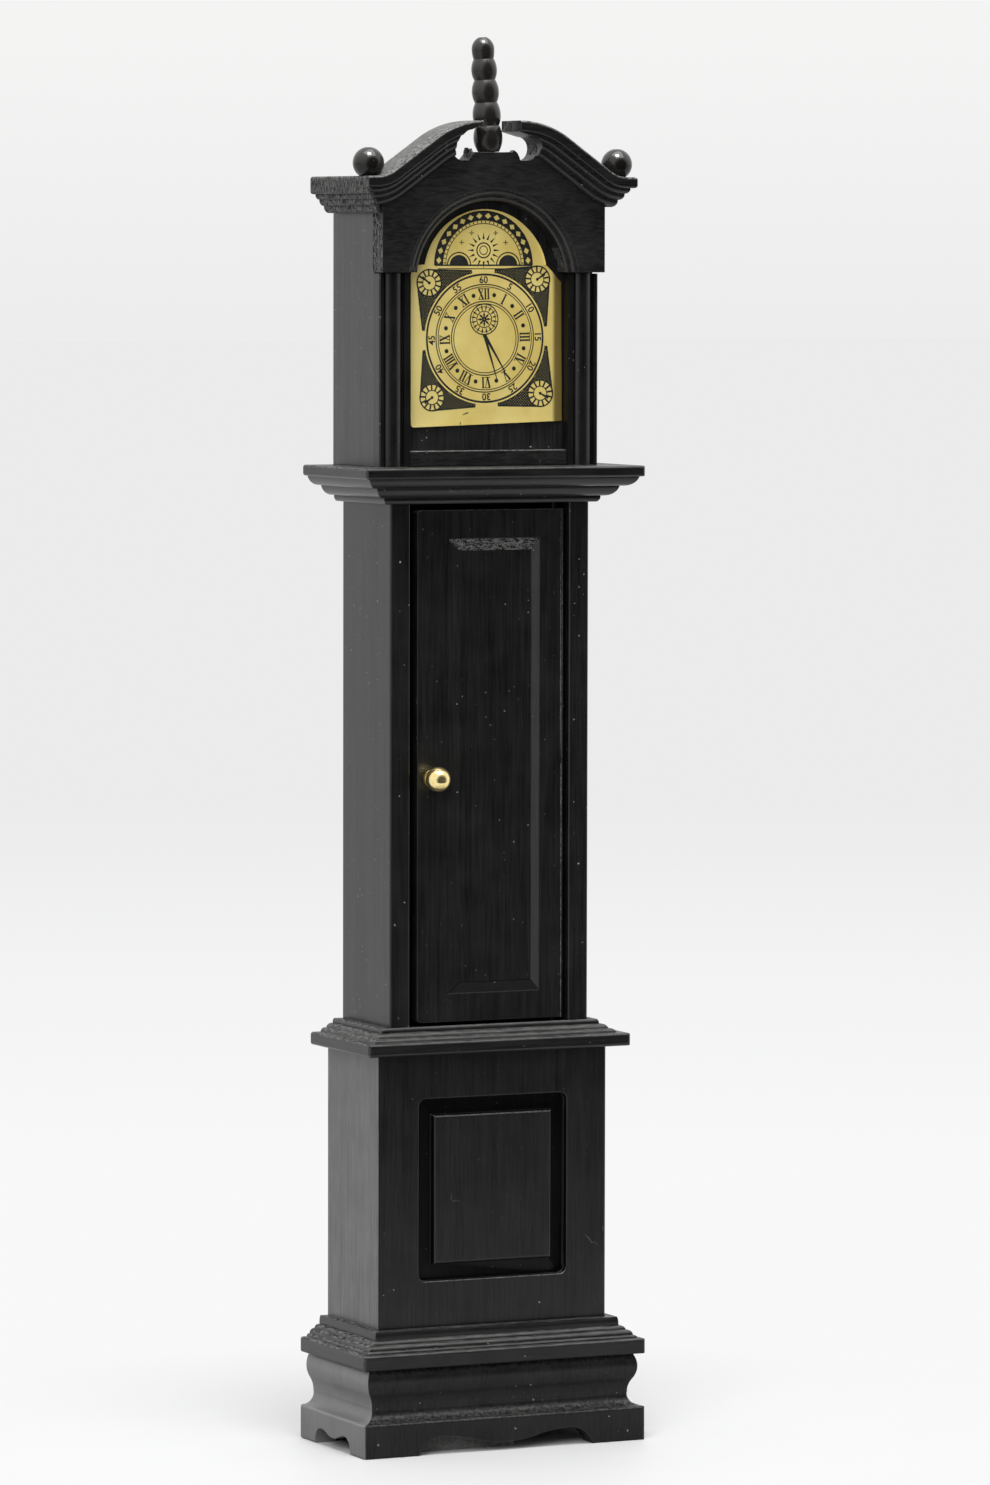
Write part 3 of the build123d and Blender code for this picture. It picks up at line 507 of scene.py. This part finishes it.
gold_foil, tree = new_finish("brushed_gold_foil")
place = object_place(tree)
brushed = noise(tree, drawn_out(tree, place, "Z", 0.04), 3600, 4)
cloud = noise(tree, place, 190, 3)
across = add_node(tree, "ShaderNodeSeparateXYZ", {0: place}).outputs["X"]
gold = tint(tree, ramp(tree, cloud, 0.35, 0.65), (0.83, 0.645, 0.178, 1), (0.95, 0.775, 0.265, 1))
# Painted highlight: the foil is paler and brighter towards its left edge.
gold = tint(tree, ramp(tree, across, -0.004, -0.0095, 0.0, 0.6), gold, (0.98, 0.83, 0.33, 1))
# Darker olive along the right edge, beyond the crease.
gold = tint(tree, ramp(tree, across, 0.0094, 0.0099), gold, (0.27, 0.195, 0.050, 1))
surfaced(gold_foil, {
    "Base Color": gold,
    "Metallic": 0.25,
    "Roughness": ramp(tree, brushed, 0.3, 0.7, 0.34, 0.46),
    "Normal": relief(tree, brushed, 0.10, 0.00003),
})
gold_dial_foil = made_piece(foil_bm, "gold_dial_foil", gold_foil)
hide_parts("dial_foil")
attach(gold_dial_foil, "case")

# Dial printing: one layer of matt black ink on the foil, with rings, numbers, dots, wheels and hatching.
# The marks that repeat round a ring come from one node tree; all are laid on the foil's own curve.
# The dial is drawn round its own centre, and turned a little as it is set on the foil.

dial_z, dial_turn, ink_lift = 141.95, radians(1.7), 0.012
numeral_foot, numeral_height, numeral_weight = 4.94, 1.42, 1.7
numeral_widest, numeral_loosest = 1.75, 1.45
figure_foot, figure_size, figure_weight = 7.04, 1.24, 0.025
seconds_x, seconds_z = -0.04, 2.42
corner_x, corner_z, corner_r, corner_line, corner_hand = 7.6, 7.28, 1.68, 0.17, 1.25
top_tip, side_tip = (1.6, 8.66), (8.66, 1.25)
top_end, side_end = (corner_x + 0.2, corner_z + corner_r), (corner_x + corner_r, corner_z + 0.2)
hatch_pitch, hatch_step, hatch_width, shortest_hatch = 0.36, 0.09, 0.19, 0.15
hatch_rows, hatch_steps, hatch_inner_r, hatch_off_corner = 52, 141, 8.5, 1.72
arch_x, arch_base = -0.2, 151.25
band_low, band_middle, band_high, band_cells, band_edge = 5.78, 6.31, 6.84, 16, 0.16
sun_z, moon_x = arch_base + 1.9, 3.45

dial_ink, tree = new_finish("black_dial_ink")
mottle = noise(tree, object_place(tree), 1500, 4)
surfaced(dial_ink, {
    "Base Color": tint(tree, ramp(tree, mottle, 0.35, 0.7), (0.006, 0.008, 0.007, 1), (0.015, 0.017, 0.014, 1)),
    "Roughness": ramp(tree, mottle, 0.3, 0.7, 0.5, 0.7),
})

marks = bpy.data.node_groups.new("marks_round_a_ring", "GeometryNodeTree")
for label, kind in (("Radius", "NodeSocketFloat"), ("Start", "NodeSocketFloat"), ("Sweep", "NodeSocketFloat"),
                    ("Count", "NodeSocketInt"), ("Length", "NodeSocketFloat"), ("Width", "NodeSocketFloat"),
                    ("Corners", "NodeSocketInt"), ("Ink", "NodeSocketMaterial")):
    marks.interface.new_socket(label, in_out="INPUT", socket_type=kind)
marks.interface.new_socket("Mesh", in_out="OUTPUT", socket_type="NodeSocketGeometry")
mark_inputs = {item.name: item.identifier for item in marks.interface.items_tree if item.in_out == "INPUT"}
asked = marks.nodes.new("NodeGroupInput").outputs
arc = add_node(marks, "GeometryNodeCurveArc",
               {"Resolution": 160, "Radius": asked["Radius"], "Start Angle": asked["Start"],
                "Sweep Angle": asked["Sweep"]})
spots = add_node(marks, "GeometryNodeCurveToPoints", {0: arc.outputs[0], "Count": asked["Count"]}, mode="COUNT")
from_centre = add_node(marks, "GeometryNodeInputPosition").outputs[0]
outward = add_node(marks, "FunctionNodeAlignRotationToVector", {"Vector": from_centre}, axis="X")
mark = add_node(marks, "GeometryNodeMeshCircle", {"Vertices": asked["Corners"], "Radius": 0.5},
                fill_type="NGON")
spread = add_node(marks, "ShaderNodeCombineXYZ", {0: asked["Length"], 1: asked["Width"], 2: 1.0})
placed = add_node(marks, "GeometryNodeInstanceOnPoints",
                  {"Points": spots.outputs[0], "Instance": mark.outputs[0], "Rotation": outward.outputs[0],
                   "Scale": spread.outputs[0]})
whole = add_node(marks, "GeometryNodeRealizeInstances", {0: placed.outputs[0]})
inked = add_node(marks, "GeometryNodeSetMaterial", {0: whole.outputs[0], "Material": asked["Ink"]})
add_node(marks, "NodeGroupOutput", {0: inked.outputs[0]})


def on_dial_plane(x, z):
    """The turn and scale from a flat drawing in x and y to the dial's x and z, about a centre."""
    return Matrix(((MM, 0, 0, x * MM), (0, 0, 0, 0), (0, MM, 0, z * MM), (0, 0, 0, 1)))


def ring_marks(bm, cx, cz, **sizes):
    """Like marks round a ring from the node tree, set flat into the printing."""
    carrier = bpy.data.objects.new("ring_marks", bpy.data.meshes.new("ring_marks"))
    bpy.context.collection.objects.link(carrier)
    tree_on = carrier.modifiers.new("marks", "NODES")
    tree_on.node_group = marks
    for label, value in sizes.items():
        tree_on[mark_inputs[label]] = value
    tree_on[mark_inputs["Ink"]] = dial_ink
    ready = carrier.evaluated_get(bpy.context.evaluated_depsgraph_get())
    flat = bpy.data.meshes.new_from_object(ready)
    flat.transform(on_dial_plane(cx, cz))
    bm.from_mesh(flat)
    bpy.data.objects.remove(carrier)
    bpy.data.meshes.remove(flat)


def ring(bm, cx, cz, radius, width, first=0.0, last=360.0):
    """A printed ring or arc line."""
    count = max(16, int(radius * 10 * (last - first) / 180))
    outer = arc_points(cx, cz, radius + width / 2, first, last, count + 1)
    inner = arc_points(cx, cz, radius - width / 2, first, last, count + 1)
    for k in range(count):
        flat_face(bm, [inner[k], outer[k], outer[k + 1], inner[k + 1]])


def stroke(bm, start, end, width, taper=1.0):
    """A printed straight line, its far end wider or narrower."""
    run = Vector((end[0] - start[0], end[1] - start[1]))
    side = Vector((-run.y, run.x)).normalized() * width / 2
    far = side * taper
    flat_face(bm, [(start[0] + side.x, start[1] + side.y), (start[0] - side.x, start[1] - side.y),
                   (end[0] - far.x, end[1] - far.y), (end[0] + far.x, end[1] + far.y)])


def letter_strokes(numeral):
    """Strokes of a Roman numeral as start, end and width, one unit high, and the numeral's width."""
    stem, broad, fine, serif, space = 0.13, 0.14, 0.06, 0.03, 0.03
    narrow_letter, broad_letter, inset = 0.26, 0.54, 0.06
    strokes, pen = [], 0.0
    for letter in numeral:
        wide = narrow_letter if letter == "I" else broad_letter
        left, middle, right = pen + inset, pen + wide / 2, pen + wide - inset
        if letter == "I":
            strokes.append(((middle, 0), (middle, 1), stem))
        elif letter == "V":
            strokes += [((left, 1), (middle, 0), broad), ((right, 1), (middle, 0), fine)]
        else:
            strokes += [((left, 1), (right, 0), broad), ((right, 1), (left, 0), fine)]
        for level in (serif, 1 - serif):
            strokes.append(((pen, level), (pen + wide, level), fine))
        pen += wide + space
    return strokes, pen - space


def minute_figures(bm, text, turn):
    """Upright plain figures, set round the dial by a turn."""
    figures = bpy.data.curves.new("minute_figures", "FONT")
    figures.body = text
    figures.align_x = "CENTER"
    figures.size = figure_size
    figures.offset = figure_weight
    figures.resolution_u = 3
    lettering = bpy.data.objects.new("minute_figures", figures)
    bpy.context.collection.objects.link(lettering)
    ready = lettering.evaluated_get(bpy.context.evaluated_depsgraph_get())
    flat = bpy.data.meshes.new_from_object(ready)
    flat.transform(Matrix.Rotation(turn, 4, "Z") @ Matrix.Translation((0, figure_foot, 0)))
    flat.transform(on_dial_plane(0, 0))
    bm.from_mesh(flat)
    bpy.data.objects.remove(lettering)
    bpy.data.curves.remove(figures)
    bpy.data.meshes.remove(flat)


def hatched(u, v):
    """True in a hatched corner: outside the great ring, off the corner dial, inside the corner's two lines."""
    if hypot(u, v) < hatch_inner_r or hypot(u - corner_x, v - corner_z) < hatch_off_corner:
        return False
    over = top_tip[1] + (u - top_tip[0]) * (top_end[1] - top_tip[1]) / (top_end[0] - top_tip[0])
    beyond = side_tip[0] + (v - side_tip[1]) * (side_end[0] - side_tip[0]) / (side_end[1] - side_tip[1])
    in_corner = top_tip[0] < u < side_end[0] and side_tip[1] < v < top_end[1]
    return in_corner and v < over and u < beyond and (u < corner_x or v < corner_z)


def hatch_lines(lean, shift):
    """The two ends of each line that crosses a hatched corner at one slope."""
    lines = []
    for row in range(-hatch_rows, hatch_rows + 1):
        begun = None
        for step in range(hatch_steps):
            u = step * hatch_step
            v = lean * u + row * hatch_pitch + shift
            inside = hatched(u, v)
            if inside and begun is None:
                begun = (u, v)
            if begun is not None and not inside:
                if hypot(u - begun[0], v - begun[1]) > shortest_hatch:
                    lines.append((begun, (u, v)))
                begun = None
    return lines


def arch_point(radius, angle):
    """A point of the dial's arch, by its angle about the arch's centre."""
    return (arch_x + radius * cos(angle), arch_base + radius * sin(angle))


print_bm = bmesh.new()
for radius, width in ((8.12, 0.25), (6.86, 0.14), (6.56, 0.11), (4.72, 0.14), (4.40, 0.11)):
    ring(print_bm, 0, 0, radius, width)
for hour, numeral in enumerate(("XII", "I", "II", "III", "IV", "V", "VI", "VII", "VIII", "IX", "X", "XI")):
    turn = radians(-30 * hour)
    strokes, wide = letter_strokes(numeral)
    squeeze = min(numeral_loosest, numeral_widest / wide)
    for start, end, width in strokes:
        ends = []
        for along, up in (start, end):
            u, v = (along - wide / 2) * squeeze, numeral_foot + numeral_height * up
            ends.append((u * cos(turn) - v * sin(turn), u * sin(turn) + v * cos(turn)))
        stroke(print_bm, ends[0], ends[1], width * numeral_weight)
    minute_figures(print_bm, str(60 if hour == 0 else 5 * hour), turn)
ring_marks(print_bm, 0, 0, Radius=5.64, Start=radians(15), Sweep=radians(330), Count=12, Length=0.56,
           Width=0.56, Corners=12)

for radius, width in ((1.95, 0.15), (1.62, 0.08), (1.05, 0.12), (0.20, 0.28)):
    ring(print_bm, seconds_x, seconds_z, radius, width)
ring_marks(print_bm, seconds_x, seconds_z, Radius=1.5, Start=radians(11.25), Sweep=radians(337.5), Count=16,
           Length=1.0, Width=0.22, Corners=4)
ring_marks(print_bm, seconds_x, seconds_z, Radius=0.55, Start=0.0, Sweep=radians(315), Count=8, Length=0.95,
           Width=0.30, Corners=4)
minute_hand, hour_hand = ((-0.05, 0.42), (1.57, -5.35)), ((0.0, 0.42), (2.70, -4.35))
stroke(print_bm, *minute_hand, width=0.40, taper=0.3)
stroke(print_bm, *hour_hand, width=0.42, taper=0.35)
ring(print_bm, 0, 0.30, 0.16, 0.24)

hatching = hatch_lines(1, 0.0) + hatch_lines(-1, 9.0)
for side_x, side_z, hand in ((-1, 1, 142), (1, 1, 32), (-1, -1, 213), (1, -1, -30)):
    cx, cz = side_x * corner_x, side_z * corner_z
    ring(print_bm, cx, cz, 0.92, 0.13)
    ring(print_bm, cx, cz, 1.70, 0.18)
    ring_marks(print_bm, cx, cz, Radius=1.3, Start=radians(8), Sweep=radians(332.3), Count=13, Length=1.05,
               Width=0.26, Corners=6)
    far = (cx + corner_hand * cos(radians(hand)), cz + corner_hand * sin(radians(hand)))
    stroke(print_bm, (cx, cz), far, corner_line, 2.0)
    ring(print_bm, cx, cz, 0.10, 0.20)
    for tip, end in ((top_tip, top_end), (side_tip, side_end)):
        stroke(print_bm, (side_x * tip[0], side_z * tip[1]), (side_x * end[0], side_z * end[1]), corner_line)
    first = degrees(atan2(side_z * side_tip[1], side_x * side_tip[0]))
    last = degrees(atan2(side_z * top_tip[1], side_x * top_tip[0]))
    ring(print_bm, 0, 0, 8.52, 0.13, min(first, last), max(first, last))
    for (u0, v0), (u1, v1) in hatching:
        stroke(print_bm, (side_x * u0, side_z * v0), (side_x * u1, side_z * v1), hatch_width)

for face in print_bm.faces[:]:
    if face.calc_area() < 1e-13:
        bmesh.ops.delete(print_bm, geom=[face], context="FACES_ONLY")
turned = Matrix.Translation((0, 0, dial_z * MM)) @ Matrix.Rotation(-dial_turn, 4, "Y")
bmesh.ops.transform(print_bm, matrix=turned, verts=print_bm.verts)

for radius, width in ((6.85, 0.20), (5.75, 0.14), (5.30, 0.10)):
    ring(print_bm, arch_x, arch_base, radius, width, 0, 180)
stroke(print_bm, (-7.05, arch_base), (6.65, arch_base), 0.20)
stroke(print_bm, (-6.6, arch_base - 0.45), (6.2, arch_base - 0.45), 0.11)
ring_marks(print_bm, arch_x, arch_base, Radius=5.52, Start=radians(3), Sweep=radians(174), Count=30, Length=0.5,
           Width=0.16, Corners=4)
for cell in range(band_cells):
    opens, shuts = radians(180 / band_cells * cell), radians(180 / band_cells * (cell + 1))
    centre, slack = (opens + shuts) / 2, (shuts - opens) * 0.14
    left, right = arch_point(band_middle, opens + slack), arch_point(band_middle, shuts - slack)
    top, foot = arch_point(band_high - band_edge, centre), arch_point(band_low + band_edge, centre)
    for near, level, diamond in ((opens, band_high, (top, left)), (shuts, band_high, (top, right)),
                                 (shuts, band_low, (foot, right)), (opens, band_low, (foot, left))):
        flat_face(print_bm, [arch_point(band_middle, near), arch_point(level, near), arch_point(level, centre),
                             *diamond])
for radius, width in ((0.95, 0.17), (0.55, 0.12)):
    ring(print_bm, arch_x, sun_z, radius, width)
ring_marks(print_bm, arch_x, sun_z, Radius=1.72, Start=0.0, Sweep=radians(337.5), Count=16, Length=1.2,
           Width=0.34, Corners=3)
for side in (-1, 1):
    for radius, width in ((1.62, 0.16), (0.66, 1.30)):
        ring(print_bm, arch_x + side * moon_x, arch_base, radius, width, 0, 180)
for star_x, star_z in ((-3.3, 2.9), (2.9, 2.9), (-1.9, 4.1), (1.5, 4.1)):
    ring_marks(print_bm, star_x, arch_base + star_z, Radius=0.17, Start=0.0, Sweep=radians(270), Count=4,
               Length=0.42, Width=0.14, Corners=4)
left_scuff, foot_scuff = ((-3.15, 132.2), (-2.35, 132.5)), ((-3.5, 130.98), (-3.48, 131.3))
stroke(print_bm, *left_scuff, width=0.07, taper=2.4)
stroke(print_bm, *foot_scuff, width=0.16, taper=0.5)

bmesh.ops.remove_doubles(print_bm, verts=print_bm.verts, dist=1e-9)
lay_on_foil(print_bm, ink_lift)
for face in print_bm.faces:
    face.material_index = 0
    if face.normal.y > 0:
        face.normal_flip()
dial_printing = made_piece(print_bm, "dial_printing", dial_ink)
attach(dial_printing, "case")

# Arch board, swan necks and cornice: the hood's front, its round opening and the scrolled crest above.
# They are thick fretsawn wood and reeded strips, glued on edge, with coarse end grain under the paint.


def sawn_end(face):
    """True on the board's two upright ends."""
    return abs(face.normal.x) > 0.9


worn_along = worn_end("worn_wood_along", "Z")
crest_black = black_paint("black_paint_crest", "X", dust=0.75, edges=0.5, bite=0.08, pitted=0.42, pale=0.40)
eased("arch_board", 0.07, thin_across, "case", "arch_board_fretted", rough_and_shaded=((sawn_end, worn_along),))
paint(crest_black, "swan_neck_left", "swan_neck_right")
paint(worn_along, "cornice_left", "cornice_right")

# Finials: two drilled wooden beads at the corners and a leaning string of turned beads in the middle.
# They are glossy black, lacquered before they were threaded and glued on.


def bead_lacquer(name, body, shine, smooth):
    """Black lacquer, shinier on top and duller down the sides as painted highlight and shade, with a faint
    waviness and settled dust.
    """
    black, dust = (body, 0.93 * body, 0.80 * body, 1), (0.15, 0.148, 0.14, 1)
    finish, tree = new_finish(name)
    place = object_place(tree)
    wave = noise(tree, place, 700, 3)
    dusty = ramp(tree, noise(tree, place, 4200, 4), 0.66, 0.76, 0.0, 0.5)
    return surfaced(finish, {
        "Base Color": tint(tree, dusty, black, dust),
        "Roughness": ramp(tree, wave, 0.3, 0.7, smooth, smooth + 0.16),
        "Specular IOR Level": ramp(tree, facing(tree)[1], -0.1, 0.6, 0.35 * shine, shine),
        "Normal": relief(tree, wave, 0.10, 0.00005),
    })


paint(bead_lacquer("black_ball_lacquer", 0.008, 1.0, 0.04), "ball_finial_left", "ball_finial_right")
paint(bead_lacquer("black_bead_lacquer", 0.015, 1.0, 0.14), "centre_finial")

# Table: a wide white laminate top that the clock stands on, fading into the pale room behind.
# The rays that light the clock see it darker, and not at all in front, so that the black front stays black.

table_half, table_near, table_dark_y = 6.0, 1.8, -0.14
table_bm = bmesh.new()
bmesh.ops.create_grid(table_bm, x_segments=8, y_segments=8, size=table_half)
bmesh.ops.translate(table_bm, verts=table_bm.verts, vec=(0, table_half - table_near, 0))
white_laminate, tree = new_finish("white_laminate")
place = object_place(tree)
rays = add_node(tree, "ShaderNodeLightPath").outputs
seen = rays["Is Camera Ray"]
white = tint(tree, noise(tree, place, 60, 3), (0.925, 0.925, 0.93, 1), (0.95, 0.95, 0.95, 1))
white = tint(tree, seen, (0.40, 0.40, 0.402, 1), white)
top = add_node(tree, "ShaderNodeBsdfPrincipled", {"Base Color": white, "Roughness": 0.55})
span = add_node(tree, "ShaderNodeVectorMath", {0: place}, operation="LENGTH").outputs["Value"]
fading = tint(tree, ramp(tree, span, 0.3, 1.1), (0.94, 0.94, 0.945, 1), (0.832, 0.832, 0.838, 1))
haze = add_node(tree, "ShaderNodeEmission", {"Color": fading, "Strength": 1.0})
seen_or_mirrored = number(tree, "MAXIMUM", seen, rays["Is Glossy Ray"])
far_off = number(tree, "MULTIPLY", seen_or_mirrored, ramp(tree, span, 0.02, 0.09))
blended = add_node(tree, "ShaderNodeMixShader", {0: far_off, 1: top.outputs[0], 2: haze.outputs[0]})
depth = add_node(tree, "ShaderNodeSeparateXYZ", {0: place}).outputs["Y"]
in_front = number(tree, "LESS_THAN", depth, table_dark_y)
unlit = number(tree, "MULTIPLY", in_front, number(tree, "SUBTRACT", 1.0, seen))
nothing = add_node(tree, "ShaderNodeBsdfTransparent")
blended = add_node(tree, "ShaderNodeMixShader", {0: unlit, 1: blended.outputs[0], 2: nothing.outputs[0]})
add_node(tree, "ShaderNodeOutputMaterial", {"Surface": blended.outputs[0]})
white_table = made_piece(table_bm, "white_table", white_laminate)

# Light: a pale room, a soft light overhead, one at the left that only rough surfaces take up, and a wide
# ceiling panel that only shiny ones mirror. The room is dim behind the camera, so that the front stays dark.

room = bpy.data.worlds.new("soft_daylight")
bpy.context.scene.world = room
room.use_nodes = True
tree = room.node_tree
tree.nodes.clear()
rays = add_node(tree, "ShaderNodeLightPath").outputs
towards = add_node(tree, "ShaderNodeTexCoord").outputs["Generated"]
height = add_node(tree, "ShaderNodeSeparateXYZ", {0: towards}).outputs["Z"]
behind_camera = (0.15, -0.98, -0.12)
that_way = add_node(tree, "ShaderNodeVectorMath", {0: towards, 1: behind_camera}, operation="DOT_PRODUCT")
dim = ramp(tree, that_way.outputs["Value"], 0.52, 0.82)
mirrored_room = tint(tree, dim, (1.0, 1.0, 1.0, 1), (0.03, 0.03, 0.031, 1))
lighting = tint(tree, rays["Is Glossy Ray"], (0.42, 0.42, 0.425, 1), mirrored_room)
backdrop = tint(tree, ramp(tree, height, -0.023, 0.031), (0.832, 0.832, 0.834, 1), (0.905, 0.905, 0.900, 1))
room_colour = tint(tree, rays["Is Camera Ray"], lighting, backdrop)
sky = add_node(tree, "ShaderNodeBackground", {"Color": room_colour, "Strength": 1.0})
add_node(tree, "ShaderNodeOutputWorld", {"Surface": sky.outputs[0]})


def soft_lamp(name, spot, aim, size, power, diffuse=True, glossy=True):
    """A square soft light aimed at a point, seen by rough surfaces, by shiny ones or by both."""
    lamp = bpy.data.lights.new(name, "AREA")
    lamp.size = size
    lamp.energy = power
    held = bpy.data.objects.new(name, lamp)
    bpy.context.collection.objects.link(held)
    held.location = spot
    held.rotation_euler = (Vector(aim) - Vector(spot)).to_track_quat("-Z", "Y").to_euler()
    held.visible_diffuse = diffuse
    held.visible_glossy = glossy


soft_lamp("overhead_softbox", (-0.06, -0.30, 0.98), (0, 0, 0.09), 0.34, 5.0)
soft_lamp("left_softbox", (-0.66, -0.75, 0.55), (0, 0, 0.10), 0.5, 4.8, glossy=False)
soft_lamp("ceiling_panel", (0.05, -0.25, 1.15), (0, 0, 0.09), 1.1, 8.0, diffuse=False)

# Camera: a long lens about a metre away, at the front left and a little above the middle of the clock.
# Its place, its lens and its angles in degrees were worked out from the clock's straight edges.

camera_down, camera_right, camera_roll = 3.765, 25.449, 0.114
camera = bpy.data.cameras.new("camera")
camera.lens = 183.2
camera.clip_start = 0.05
camera_stand = bpy.data.objects.new("camera", camera)
bpy.context.collection.objects.link(camera_stand)
camera_stand.location = (-0.4135, -0.8751, 0.1538)
level = Euler((radians(90 - camera_down), 0, radians(-camera_right))).to_matrix()
camera_stand.rotation_euler = (level @ Matrix.Rotation(radians(camera_roll), 3, "Z")).to_euler()
bpy.context.scene.camera = camera_stand

bpy.context.scene.view_settings.view_transform = "Standard"
